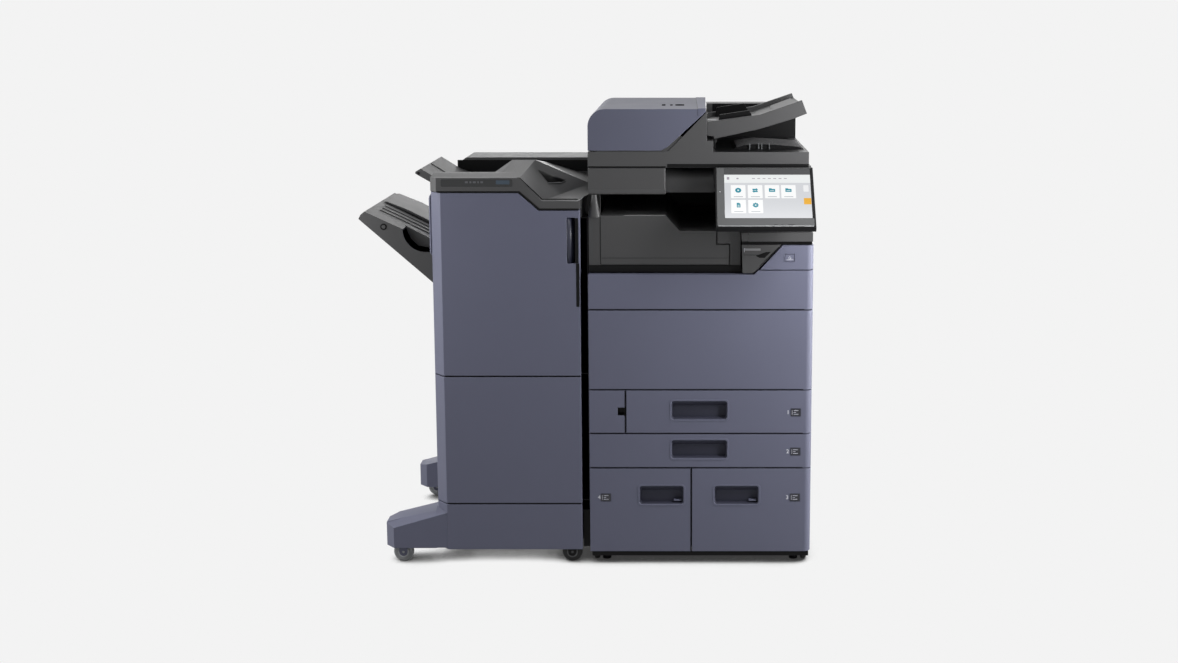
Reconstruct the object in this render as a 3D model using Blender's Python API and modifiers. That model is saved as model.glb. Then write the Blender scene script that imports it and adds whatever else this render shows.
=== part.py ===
"""A floor-standing photocopier with a document feeder on top and a stapling finisher docked at its left.

Metres, +Z up, the front faces -Y. Every place is worked out in a build frame whose X = 0 is the middle of
the main unit, Y = 0 is the plane of its front panels and Z = 0 is the floor. The last step moves the whole
assembly so that the middle of its footprint lies on the origin.
"""

import math

import bmesh
import bpy
from mathutils import Matrix, Vector

# ---------------------------------------------------------------- driving dimensions
CLEAR = 0.0004          # between pieces that seat on or run in each other
REVEAL = 0.0025         # the shadow gap between two panels
SHEET = 0.004           # frame plate
SKIN = 0.0025           # outer side covers
WALL = 0.003            # moulded walls

MAIN_WIDTH = 0.602
MAIN_DEPTH = 0.665
PANEL = 0.026           # how deep the front panels are
CORNER = 0.019          # the rounded right-hand front corner
BASE_Z = 0.043          # underside of the lowest front panels
LARGE_TIER = 0.2275     # front heights, from the floor up
SMALL_TIER = 0.0935
TALL_TIER = 0.1190
COVER_TIER = 0.2170
UPPER_TIER = 0.0950
SWITCH_TIER = 0.0760
LOWER_SPLIT_X = -0.0242     # between the two large cassettes
WASTE_SPLIT_X = -0.2020     # between the waste toner door and the top cassette
GRIP_X = -0.0035            # the middle of the finger pulls of the two full-width cassettes
LARGE_GRIP_RISE = 0.0343    # the pulls of the two large cassettes lie this far above their middle
LARGE_DROP = 0.0065         # the large cassettes' fronts hang this far below the side covers
CASSETTE_TRAVEL = 0.45
CASSETTE_DEPTH = 0.545

TOWER_WIDTH = 0.1745    # the tower that carries the scanner and the screen
LEDGE_GAP = 0.0105      # between the switch panel and the ledge under the screen
LEDGE_HEIGHT = 0.024
BAY_HEIGHT = 0.2125     # the output bay, from the upper panel to the scanner
SCAN_HEIGHT = 0.0695
SCAN_FRONT = 0.030
SCAN_BACK = 0.612
SCAN_NOTCH_X = -0.094   # the scanner steps back to the right of this, behind the screen
SCAN_NOTCH_Y = 0.090

FEEDER_INSET = 0.0140   # the feeder stops this far short of the right side
FEEDER_BACK = 0.592
SLAB_HEIGHT = 0.0415
FEEDER_HEIGHT = 0.1555              # slab and hood together
FEEDER_RADIUS = 0.046
HOOD_TOP_X = 0.0120     # right end of the feeder hood, top and bottom of its slanted edge
HOOD_FOOT_X = -0.0890
EXIT_X = 0.0323         # the wall that the originals come out of

SCREEN_WIDTH = 0.258
SCREEN_LENGTH = 0.204
SCREEN_THICK = 0.022
SCREEN_TILT = 45.5
SCREEN_INSET = 0.0061               # from its right end to the machine's side
SCREEN_REACH = 0.130                # how far its lower edge stands in front
SCREEN_LIFT = 0.0540                # how far its lower edge stands over the ledge
SCREEN_PIVOT = 0.35                 # how far up the screen its hinge lies, as a share
SCREEN_ARM = 0.036                  # from the screen's face to the hinge

DOCK_GAP = 0.0216                   # between the finisher's front and the main unit
FIN_WIDTH = 0.3984
FIN_DEPTH = 0.655
FIN_BASE_Z = 0.0417
FIN_CHAMFER = (0.030, 0.036)        # across and back, at the left-hand front corner
FIN_BASE_TIER = 0.1278
FIN_LOWER_TIER = 0.3530
FIN_DOOR_TIER = 0.4496              # the door, on its low right-hand side
FIN_DROP = 0.0470                   # the door's top edge drops this much
FIN_SLANT = (0.1614, 0.1074)        # where it drops, measured from the right
TRAY_TRAVEL = 0.50

MAIN_WHEEL_R = 0.0185
FIN_WHEEL_R = 0.0275
WHEEL_WIDTH = 0.016
AXLE_R = 0.003

# ---------------------------------------------------------------- derived places
HALF = MAIN_WIDTH / 2
TOWER_X = HALF - TOWER_WIDTH
FEEDER_RIGHT = HALF - FEEDER_INSET
SCREEN_LEFT = HALF - SCREEN_INSET - SCREEN_WIDTH
HINGE_INSET = 0.0025
BACK_OF_FRONTS = PANEL + CLEAR


def stack(start, heights, gap):
    """(bottom, top) of each tier, one above the other with a gap between."""
    tiers = []
    for height in heights:
        tiers.append((start, start + height))
        start += height + gap
    return tiers


LARGE_Z, SMALL_Z, TALL_Z, COVER_Z, UPPER_Z, SWITCH_Z = stack(
    BASE_Z, (LARGE_TIER, SMALL_TIER, TALL_TIER, COVER_TIER, UPPER_TIER, SWITCH_TIER), REVEAL)
FIN_BASE, FIN_LOWER = stack(FIN_BASE_Z, (FIN_BASE_TIER, FIN_LOWER_TIER), REVEAL)
FIN_DOOR_FOOT = FIN_LOWER[1] + REVEAL
FIN_RIGHT = -HALF - DOCK_GAP
FIN_LEFT = FIN_RIGHT - FIN_WIDTH
FIN_LOW_Z = FIN_DOOR_FOOT + FIN_DOOR_TIER
FIN_HIGH_Z = FIN_LOW_Z + FIN_DROP
FIN_DECK_Z = FIN_LOW_Z - 0.0220     # top of the finisher's frame
FIN_SLANT_X = (FIN_RIGHT - FIN_SLANT[0], FIN_RIGHT - FIN_SLANT[1])
SWITCH_STEP = 0.011     # the upper panel rises this much beside the slanted edge
LEDGE_Z = SWITCH_Z[1] + LEDGE_GAP
SCREEN_FOOT = (-SCREEN_REACH, LEDGE_Z + SCREEN_LIFT)
SCAN_Z = UPPER_Z[1] + BAY_HEIGHT
ENGINE_TOP = UPPER_Z[1] - 0.0015
FRAME_FRONT = PANEL + 0.0008
FRAME_BACK = MAIN_DEPTH - 0.025
SLAB_Z = SCAN_Z + SCAN_HEIGHT + 0.0015
SLAB_TOP = SLAB_Z + SLAB_HEIGHT
FEEDER_TOP = SLAB_Z + FEEDER_HEIGHT
HOOD_FOOT_Z = SLAB_TOP + REVEAL + 0.001
CHASSIS_X = HALF - SKIN - CLEAR


# ---------------------------------------------------------------- scene and materials
def start_scene():
    for obj in list(bpy.data.objects):
        bpy.data.objects.remove(obj, do_unlink=True)
    parts = bpy.data.collections.new("photocopier")
    helpers = bpy.data.collections.new("cutters")
    for collection in (parts, helpers):
        bpy.context.scene.collection.children.link(collection)
    helpers.hide_render = True
    return parts, helpers


PARTS, HELPERS = start_scene()


def finish(name, colour, roughness, metallic=0.0):
    made = bpy.data.materials.new(name)
    made.use_nodes = True
    shader = made.node_tree.nodes["Principled BSDF"]
    shader.inputs["Base Color"].default_value = (*colour, 1.0)
    shader.inputs["Roughness"].default_value = roughness
    shader.inputs["Metallic"].default_value = metallic
    return made


VIOLET = finish("violet_grey_plastic", (0.17, 0.17, 0.22), 0.45)
DARK = finish("charcoal_plastic", (0.055, 0.055, 0.055), 0.5)
BLACK = finish("black_plastic", (0.015, 0.015, 0.015), 0.55)
STEEL = finish("zinc_plated_steel", (0.55, 0.56, 0.58), 0.35, 1.0)
GLASS = finish("glass", (0.75, 0.80, 0.80), 0.05)
RUBBER = finish("caster_rubber", (0.03, 0.03, 0.03), 0.8)
GREY = finish("grey_tyre", (0.16, 0.16, 0.155), 0.7)
TONERS = {
    "black": finish("toner_black", (0.03, 0.03, 0.03), 0.5),
    "cyan": finish("toner_cyan", (0.02, 0.35, 0.55), 0.5),
    "magenta": finish("toner_magenta", (0.55, 0.03, 0.25), 0.5),
    "yellow": finish("toner_yellow", (0.75, 0.55, 0.03), 0.5),
}


# ---------------------------------------------------------------- bodies
def body(name, at, parent=None):
    """An empty on a joint's axis. The pieces that move with the joint are its children."""
    empty = bpy.data.objects.new(name, None)
    empty["at"] = at
    PARTS.objects.link(empty)
    if parent is not None:
        empty.parent = parent
        empty.location = Vector(at) - Vector(parent["at"])
    return empty


ROOT = body("photocopier_origin", (0.0, 0.0, 0.0))


def give(obj, name, material, rides=ROOT):
    """Names a finished mesh object and hangs it under its body without moving it."""
    obj.name = name
    obj.data.name = name
    obj.data.materials.clear()
    obj.data.materials.append(material)
    obj.parent = rides
    obj.matrix_parent_inverse = Matrix.Translation(-Vector(rides["at"]))
    return obj


# ---------------------------------------------------------------- shapes
def adopt(obj):
    for collection in list(obj.users_collection):
        collection.objects.unlink(obj)
    PARTS.objects.link(obj)
    return obj


def box(x, y, z):
    """A box between the two ends given along each axis."""
    ends = [sorted(pair) for pair in (x, y, z)]
    middle = [(low + high) / 2 for low, high in ends]
    size = [high - low for low, high in ends]
    bpy.ops.mesh.primitive_cube_add(size=1.0, location=middle)
    obj = bpy.context.active_object
    obj.scale = size
    bpy.ops.object.transform_apply(location=False, rotation=False, scale=True)
    return adopt(obj)


TURNS = {
    "X": Matrix(((0, 0, 1), (1, 0, 0), (0, 1, 0))).to_4x4(),
    "Y": Matrix(((1, 0, 0), (0, 0, -1), (0, 1, 0))).to_4x4(),
    "Z": Matrix.Identity(4),
}


def as_mesh(obj):
    """The evaluated shape as a plain mesh object, with its loose caps welded."""
    bpy.context.view_layer.update()
    graph = bpy.context.evaluated_depsgraph_get()
    mesh = bpy.data.meshes.new_from_object(obj.evaluated_get(graph))
    fresh = bpy.data.objects.new(obj.name + "_mesh", mesh)
    fresh.matrix_world = obj.matrix_world
    PARTS.objects.link(fresh)
    bpy.data.objects.remove(obj, do_unlink=True)
    shape = bmesh.new()
    shape.from_mesh(mesh)
    bmesh.ops.remove_doubles(shape, verts=shape.verts, dist=1e-5)
    bmesh.ops.recalc_face_normals(shape, faces=shape.faces)
    shape.to_mesh(mesh)
    shape.free()
    return fresh


def prism(outlines, along, low, high):
    """A flat outline, with further outlines as its holes, carried from low to high along an axis.

    An outline's points are (X, Y) along Z, (X, Z) along Y and (Y, Z) along X.
    """
    if not isinstance(outlines[0][0], (tuple, list)):
        outlines = [outlines]
    curve = bpy.data.curves.new("outline", "CURVE")
    curve.dimensions = "2D"
    curve.fill_mode = "BOTH"
    curve.extrude = (high - low) / 2
    for points in outlines:
        spline = curve.splines.new("POLY")
        spline.points.add(len(points) - 1)
        for point, (u, v) in zip(spline.points, points):
            point.co = (u, v, 0.0, 1.0)
        spline.use_cyclic_u = True
    obj = bpy.data.objects.new("outline", curve)
    axis = {"X": Vector((1, 0, 0)), "Y": Vector((0, 1, 0)), "Z": Vector((0, 0, 1))}[along]
    obj.matrix_world = Matrix.Translation(axis * (low + high) / 2) @ TURNS[along]
    PARTS.objects.link(obj)
    return as_mesh(obj)


def arc(centre, radius, start, end, steps=6):
    """Points on an arc, angles in degrees."""
    return [(centre[0] + radius * math.cos(math.radians(start + (end - start) * i / steps)),
             centre[1] + radius * math.sin(math.radians(start + (end - start) * i / steps)))
            for i in range(steps + 1)]


def circle(centre, radius, steps=16):
    return arc(centre, radius, 0, 360 * (steps - 1) / steps, steps - 1)


def rectangle(u, v):
    return [(u[0], v[0]), (u[1], v[0]), (u[1], v[1]), (u[0], v[1])]


def turned(profile, along, centre, steps=20):
    """A solid of revolution. The profile's (radius, distance) points run down its outer side."""
    mesh = bpy.data.meshes.new("profile")
    points = [(radius, 0.0, height) for radius, height in profile]
    mesh.from_pydata(points, [(i, i + 1) for i in range(len(points) - 1)], [])
    obj = bpy.data.objects.new("profile", mesh)
    PARTS.objects.link(obj)
    screw = obj.modifiers.new("turn", "SCREW")
    screw.steps = screw.render_steps = steps
    screw.use_merge_vertices = True
    screw.merge_threshold = 0.0001
    obj.matrix_world = Matrix.Translation(centre) @ TURNS[along]
    return as_mesh(obj)


def rod(radius, along, centre, low, high, steps=16):
    """A round bar from low to high, measured from its centre."""
    return turned([(0.0, high), (radius, high), (radius, low), (0.0, low)], along, centre, steps)


def combine(obj, operation, tools):
    """Boolean steps that stay on the object. Their tools become hidden helpers."""
    for tool in tools:
        adopt_helper(tool)
        step = obj.modifiers.new(operation.lower(), "BOOLEAN")
        step.operation = operation
        step.solver = "EXACT"
        step.object = tool
    return obj


def adopt_helper(tool):
    for collection in list(tool.users_collection):
        collection.objects.unlink(tool)
    HELPERS.objects.link(tool)
    tool.name = "cutter"
    tool.parent = ROOT
    tool.hide_render = True
    tool.display_type = "WIRE"


def cut(obj, *tools):
    return combine(obj, "DIFFERENCE", tools)


def join(obj, *tools):
    return combine(obj, "UNION", tools)


def intersect(obj, *tools):
    return combine(obj, "INTERSECT", tools)


# ---------------------------------------------------------------- casters and feet
def cheek(along, across, centre, wheel_r, top, thick):
    """One side plate of a caster, with the bore its axle turns in."""
    u, z = centre
    width = wheel_r * 0.42
    outline = [(u - width, top), *arc((u, z), width, 180, 360, 5), (u + width, top)]
    hole = circle((u, z), AXLE_R + 0.0007, 12)
    return prism([outline, hole], along, across - thick / 2, across + thick / 2)


def wheel(name, along, centre, radius, material):
    """A caster wheel with its axle, in its own body on the axle's axis."""
    hub = body(name + "_axle", centre, ROOT)
    half = WHEEL_WIDTH / 2
    stub = half + CLEAR + SHEET * 0.6
    shape = turned([
        (0.0, stub), (AXLE_R, stub), (AXLE_R, half), (radius * 0.8, half), (radius, half * 0.6),
        (radius, -half * 0.6), (radius * 0.8, -half), (AXLE_R, -half), (AXLE_R, -stub), (0.0, -stub),
    ], along, centre, 24)
    return give(shape, name, material, hub)


def caster_cheeks(along, place, radius, top):
    """The two cheeks of a caster whose wheel's centre is at place. Along is its axle's direction."""
    x, y, z = place
    across, u = (x, y) if along == "X" else (y, x)
    offset = WHEEL_WIDTH / 2 + CLEAR + SHEET / 2
    return [cheek(along, across + side * offset, (u, z), radius, top, SHEET) for side in (-1, 1)]


def levelling_foot(x, y, top):
    """A screw-down glide with its flat pad on the floor."""
    return turned([(0.0, top), (0.005, top), (0.005, 0.008), (0.012, 0.006), (0.012, 0.0), (0.0, 0.0)],
                  "Z", (x, y, 0.0), 16)


MAIN_CASTERS = [(side * (HALF - 0.0165), y, MAIN_WHEEL_R)
                for y in (0.048, MAIN_DEPTH - 0.060) for side in (-1, 1)]


# ---------------------------------------------------------------- main unit: frame and covers
def chassis():
    """The welded frame: side plates and decks round the cassette bays and the engine bay."""
    base = BASE_Z - 0.003
    inner = CHASSIS_X - SHEET
    half_deck = SHEET / 2

    def bay(x, below, above):
        return box(x, (FRAME_FRONT - 0.01, FRAME_BACK + 0.01), (below + half_deck, above - half_deck))

    decks = [base + half_deck] + [tier[1] + REVEAL / 2 for tier in (LARGE_Z, SMALL_Z, TALL_Z)]
    top = ENGINE_TOP - half_deck
    frame = box((-CHASSIS_X, CHASSIS_X), (FRAME_FRONT, FRAME_BACK), (base, ENGINE_TOP))
    cut(
        frame,
        bay((-inner, LOWER_SPLIT_X - half_deck), decks[0], decks[1]),
        bay((LOWER_SPLIT_X + half_deck, inner), decks[0], decks[1]),
        bay((-inner, inner), decks[1], decks[2]),
        bay((-inner, WASTE_SPLIT_X - half_deck), decks[2], decks[3]),
        bay((WASTE_SPLIT_X + half_deck, inner), decks[2], decks[3]),
        bay((-inner, inner), decks[3], top),
    )
    side_door = box((inner - 0.01, HALF), RIGHT_DOOR_Y, RIGHT_DOOR_Z)
    cut(frame, grow(side_door, REVEAL))
    for place in MAIN_CASTERS:
        join(frame, *caster_cheeks("X", place, MAIN_WHEEL_R, base + half_deck))
    feet = [levelling_foot(side * (HALF - 0.043), y, base + half_deck * 1.4)
            for y in (0.052, MAIN_DEPTH - 0.060) for side in (-1, 1)]
    join(frame, *feet)
    return give(frame, "chassis", STEEL)


def grow(obj, margin):
    """The same box with a margin all round."""
    for vertex in obj.data.vertices:
        for axis in range(3):
            vertex.co[axis] += math.copysign(margin, vertex.co[axis])
    return obj


RIGHT_DOOR_Y = (0.100, 0.500)
RIGHT_DOOR_Z = (COVER_Z[0] + 0.010, ENGINE_TOP - 0.014)
RIGHT_DOOR_THICK = 0.0375


def side_covers():
    """Left, right and rear casings, each a separate moulding screwed to the frame."""
    low = BASE_Z - 0.003
    left = box((-HALF, -HALF + SKIN), (BACK_OF_FRONTS + 0.004, MAIN_DEPTH - 0.005), (low, ENGINE_TOP))
    give(left, "left_cover", VIOLET)
    outline = rectangle((BACK_OF_FRONTS + 0.004, MAIN_DEPTH - 0.005), (low, SWITCH_Z[1]))
    hole = rectangle((RIGHT_DOOR_Y[0] - REVEAL, RIGHT_DOOR_Y[1] + REVEAL),
                     (RIGHT_DOOR_Z[0] - CLEAR * 2, RIGHT_DOOR_Z[1] + REVEAL))
    give(prism([outline, hole], "X", HALF - SKIN, HALF), "right_cover", VIOLET)
    inside = HALF - SKIN - CLEAR
    rear = box((-inside, inside), (FRAME_BACK + CLEAR, MAIN_DEPTH), (low, SCAN_Z - 0.004))
    cut(rear, box((-inside + WALL, inside - WALL), (FRAME_BACK - 0.01, MAIN_DEPTH - WALL),
                  (low + 0.02, SCAN_Z - 0.02)))
    cut(rear, box((-inside + 0.03, -inside + 0.06), (MAIN_DEPTH - 0.01, MAIN_DEPTH + 0.01),
                  (low + 0.05, low + 0.07)))
    give(rear, "rear_cover", VIOLET)


def front_outline(left, right, round_right, depth=PANEL):
    """The plan of a front panel. The right-hand one carries the machine's rounded corner."""
    if not round_right:
        return rectangle((left, right), (0.0, depth))
    return [(left, 0.0), *arc((right - CORNER, CORNER), CORNER, -90, 0), (right, depth), (left, depth)]


def grip(centre_x, width, tier, rise):
    """The cutter for a finger pull: a pocket with a sloping roof."""
    middle = (tier[0] + tier[1]) / 2 + 0.004 + rise
    floor, roof = middle - 0.025, middle + 0.027
    deep = PANEL - 0.005
    outline = [(-0.01, floor), (deep, floor), (deep, roof - 0.016), (0.0, roof), (-0.01, roof)]
    return prism(outline, "X", centre_x - width / 2, centre_x + width / 2)


def upper_panels():
    """The fixed panel over the front cover, and the switch panel beside its slanted edge."""
    rise = UPPER_Z[1] + SWITCH_STEP
    slope = (SWITCH_Z[1] - UPPER_Z[1]) / 0.072
    foot = TOWER_X + 0.016
    step_x = foot + SWITCH_STEP / slope
    face = [(-HALF, UPPER_Z[0]), (HALF, UPPER_Z[0]), (HALF, rise), (step_x, rise),
            (foot, UPPER_Z[1]), (-HALF, UPPER_Z[1])]
    upper = prism(front_outline(-HALF, HALF, True), "Z", UPPER_Z[0] - 0.01, SWITCH_Z[1] + 0.01)
    intersect(upper, prism(face, "Y", -0.01, PANEL + 0.01))
    give(upper, "upper_front_panel", VIOLET)

    low = rise + REVEAL
    top_x = foot + 0.072 + 0.003
    low_x = step_x + REVEAL / slope + 0.003
    face = [(low_x, low), (HALF, low), (HALF, SWITCH_Z[1]), (top_x, SWITCH_Z[1])]
    switch = prism(front_outline(low_x - 0.01, HALF, True), "Z", low - 0.01, SWITCH_Z[1] + 0.01)
    intersect(switch, prism(face, "Y", -0.01, PANEL + 0.01))
    middle = (HALF - 0.0645, (low + SWITCH_Z[1]) / 2)
    size = (0.0125, 0.0095)
    well = [(middle[0] - size[0] - CLEAR, middle[0] + size[0] + CLEAR),
            (middle[1] - size[1] - CLEAR, middle[1] + size[1] + CLEAR)]
    cut(switch, box(well[0], (-0.01, 0.010), well[1]))
    give(switch, "switch_panel", VIOLET)
    button = body("power_button_press", (middle[0], 0.0, middle[1]), ROOT)
    key = box((middle[0] - size[0], middle[0] + size[0]), (0.0005, 0.0075),
              (middle[1] - size[1], middle[1] + size[1]))
    give(key, "power_button", DARK, button)


# ---------------------------------------------------------------- main unit: doors and cassettes
def front_cover():
    """The toner door: hinged along its lower edge, it falls forward."""
    hinge = body("front_cover_hinge", (0.0, 0.0, COVER_Z[0] + HINGE_INSET), ROOT)
    outer = front_outline(-HALF, HALF, True)
    shell = prism(outer, "Z", *COVER_Z)
    hollow = box((-HALF + WALL, HALF - CORNER), (0.004, PANEL + 0.01),
                 (COVER_Z[0] + WALL, COVER_Z[1] - WALL))
    cut(shell, hollow)
    give(shell, "front_cover", VIOLET, hinge)


def waste_toner_door():
    """The small door at the left of the top cassette, with a finger notch in its free edge."""
    hinge = body("waste_door_hinge", (-HALF, 0.0, (TALL_Z[0] + TALL_Z[1]) / 2), ROOT)
    right = WASTE_SPLIT_X - REVEAL / 2
    door = box((-HALF, right), (0.0, PANEL - 0.006), TALL_Z)
    join(door, box((-HALF, -HALF + 0.061), (0.001, PANEL), TALL_Z))
    notch_z = (TALL_Z[0] + TALL_Z[1]) / 2 + 0.0015
    cut(door, box((right - 0.021, right + 0.01), (-0.01, PANEL - 0.010), (notch_z - 0.011, notch_z + 0.011)))
    give(door, "waste_toner_door", VIOLET, hinge)


def cassette(number, left, right, tier, bay_x, grip_x, grip_width, floor, drop=0.0, rise=0.0):
    """A paper cassette: its front panel and the open bin behind it, on one slide."""
    middle = (left + right) / 2
    slide = body(f"cassette_{number}_slide", (middle, PANEL, (tier[0] + tier[1]) / 2), ROOT)
    front = prism(front_outline(left, right, right >= HALF - 1e-6), "Z", tier[0] - drop, tier[1])
    cut(front, grip(grip_x, grip_width, tier, rise))
    give(front, f"cassette_{number}_front", VIOLET, slide)
    rim = tier[1] - 0.018
    bin_y = (BACK_OF_FRONTS, BACK_OF_FRONTS + CASSETTE_DEPTH)
    tub = box(bay_x, bin_y, (floor + CLEAR, rim))
    inner_x = (bay_x[0] + WALL, bay_x[1] - WALL)
    cut(tub, box(inner_x, (bin_y[0] + WALL, bin_y[1] - WALL), (floor + CLEAR + WALL, rim + 0.01)))
    give(tub, f"cassette_{number}_bin", DARK, slide)


def cassettes():
    inner = CHASSIS_X - SHEET - CLEAR
    half = SHEET / 2
    gap = REVEAL / 2
    split = LOWER_SPLIT_X
    floors = [BASE_Z - 0.003 + SHEET, LARGE_Z[1] + gap + half, SMALL_Z[1] + gap + half]
    cassette(1, WASTE_SPLIT_X + gap, HALF, TALL_Z, (WASTE_SPLIT_X + half + CLEAR, inner),
             GRIP_X, 0.152, floors[2])
    cassette(2, -HALF, HALF, SMALL_Z, (-inner, inner), GRIP_X, 0.152, floors[1])
    cassette(3, split + gap, HALF, LARGE_Z, (split + half + CLEAR, inner), split + 0.1222, 0.121, floors[0],
             LARGE_DROP, LARGE_GRIP_RISE)
    cassette(4, -HALF, split - gap, LARGE_Z, (-inner, split - half - CLEAR), split - 0.0818, 0.121, floors[0],
             LARGE_DROP, LARGE_GRIP_RISE)


def right_door():
    """The conveyor door on the right side, and the folding bypass tray that lies in its pocket."""
    axis = (HALF - 0.004, RIGHT_DOOR_Y[1] - 0.004)
    hinge = body("right_door_hinge", (*axis, (RIGHT_DOOR_Z[0] + RIGHT_DOOR_Z[1]) / 2), ROOT)
    door = box((HALF - RIGHT_DOOR_THICK, HALF), RIGHT_DOOR_Y, RIGHT_DOOR_Z)
    pocket_y = (RIGHT_DOOR_Y[0] + 0.030, RIGHT_DOOR_Y[1] - 0.030)
    pocket_z = (RIGHT_DOOR_Z[0] + 0.012, RIGHT_DOOR_Z[0] + 0.162)
    pocket_deep = 0.0145
    cut(door, box((HALF - pocket_deep, HALF + 0.01), pocket_y, pocket_z))
    lever_z = (RIGHT_DOOR_Z[1] - 0.075, RIGHT_DOOR_Z[1] - 0.030)
    cut(door, box((HALF - 0.020, HALF + 0.01), (RIGHT_DOOR_Y[0] + 0.020, RIGHT_DOOR_Y[0] + 0.110), lever_z))
    give(door, "right_door", VIOLET, hinge)
    flap_z = (pocket_z[0] + 0.0025, pocket_z[1] - 0.0015)
    flap_x = (HALF - pocket_deep + 0.0025, HALF - CLEAR)
    pivot = (flap_x[1] - 0.004, (pocket_y[0] + pocket_y[1]) / 2, flap_z[0] + 0.004)
    tray_hinge = body("bypass_tray_hinge", pivot, hinge)
    flap = box(flap_x, (pocket_y[0] + CLEAR * 2, pocket_y[1] - CLEAR * 2), flap_z)
    give(flap, "bypass_tray", DARK, tray_hinge)


# ---------------------------------------------------------------- main unit: inside the engine bay
def engine():
    """What the front cover hides: toner containers, transfer belt and fuser."""
    deck = TALL_Z[1] + REVEAL / 2 + SHEET / 2 + CLEAR
    belt_z = (deck, deck + 0.085)
    right = HALF - 0.086
    left = right - 0.465
    belt = prism([(left + 0.020, belt_z[0]), (right - 0.025, belt_z[0]), (right, belt_z[0] + 0.040),
                  (right - 0.025, belt_z[1]), (left + 0.020, belt_z[1]), (left, belt_z[0] + 0.040)],
                 "Y", FRAME_FRONT + 0.02, 0.46)
    give(belt, "transfer_belt_unit", DARK)
    toner_z = (belt_z[1] + CLEAR, belt_z[1] + 0.125)
    widths = {"yellow": 0.075, "magenta": 0.075, "cyan": 0.075, "black": 0.115}
    left += 0.025
    for colour, width in widths.items():
        radius = width / 2
        middle = left + radius
        crown = toner_z[1] - radius
        outline = [(left, toner_z[0]), (left + width, toner_z[0]), *arc((middle, crown), radius, 0, 180, 8)]
        give(prism(outline, "Y", FRAME_FRONT + 0.004, 0.45), f"toner_{colour}", TONERS[colour])
        left += width + 0.004
    fuser = box((HALF - 0.136, HALF - RIGHT_DOOR_THICK - 0.008), (0.10, 0.47), (belt_z[1] + 0.003, belt_z[1] + 0.075))
    join(fuser, box((HALF - 0.0835, HALF - 0.0560), (0.16, 0.42), (belt_z[0], belt_z[1] + 0.010)))
    give(fuser, "fuser_unit", STEEL)


# ---------------------------------------------------------------- main unit: output bay, tower, scanner
BRIDGE_X = (-HALF + 0.0330, TOWER_X - 0.0505)
BRIDGE_Z = (UPPER_Z[1] + 0.0225, UPPER_Z[1] + 0.1550)
BRIDGE_STEP_Z = UPPER_Z[1] + 0.1135
NOTCH_X = BRIDGE_X[1] - 0.0343
NOTCH_Z = UPPER_Z[1] + 0.0768


def output_bay():
    """Floor, rear wall and front columns of the bay between engine and scanner."""
    floor = (UPPER_Z[1] + CLEAR, UPPER_Z[1] + 0.006)
    top = SCAN_Z - CLEAR
    left = -HALF + CLEAR
    right = TOWER_X - CLEAR
    back = (FRAME_BACK - 0.030, FRAME_BACK - CLEAR)
    bay = prism([(0.045, floor[0]), (back[1], floor[0]), (back[1], top), (back[0], top), (back[0], floor[1]),
                 (0.045, floor[1])], "X", left, right)
    foot = floor[0] + 0.001
    post = box((left + 0.0005, BRIDGE_X[0] - CLEAR * 2), (0.030, 0.052), (foot, top - 0.0005))
    column_x = (BRIDGE_X[1] + REVEAL, TOWER_X - 0.020)
    column = prism([(column_x[0], foot), (column_x[1], foot), (column_x[1], BRIDGE_STEP_Z),
                    (NOTCH_X + REVEAL, BRIDGE_STEP_Z), (NOTCH_X + REVEAL, NOTCH_Z + REVEAL),
                    (column_x[0], NOTCH_Z + REVEAL)], "Y", 0.030, 0.0525)
    join(bay, post, column)
    give(bay, "output_bay", DARK)


def bridge_unit():
    """The relay that carries sheets across the bay to the finisher, with a tray on its top."""
    low, high = BRIDGE_Z
    left, right = BRIDGE_X
    outline = [(left, low), (right, low), (right, NOTCH_Z), (NOTCH_X, NOTCH_Z), (NOTCH_X, BRIDGE_STEP_Z),
               (right - 0.1330, BRIDGE_STEP_Z), (right - 0.1708, high), (left, high)]
    unit = prism(outline, "Y", 0.030, 0.560)
    cut(unit, box((left + WALL, right - WALL), (0.034, 0.556), (low - 0.01, NOTCH_Z - 0.005)),
        box((left + WALL, NOTCH_X - WALL), (0.034, 0.556), (low - 0.01, BRIDGE_STEP_Z - 0.025)))
    foot_z = UPPER_Z[1] + 0.006 + CLEAR
    join(unit, box((left + 0.001, right - 0.002), (0.075, 0.079), (foot_z, low + 0.010)))
    join(unit, box((left + 0.001, right - 0.002), (0.550, 0.554), (foot_z, low + 0.010)))
    give(unit, "bridge_unit", DARK)


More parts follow.
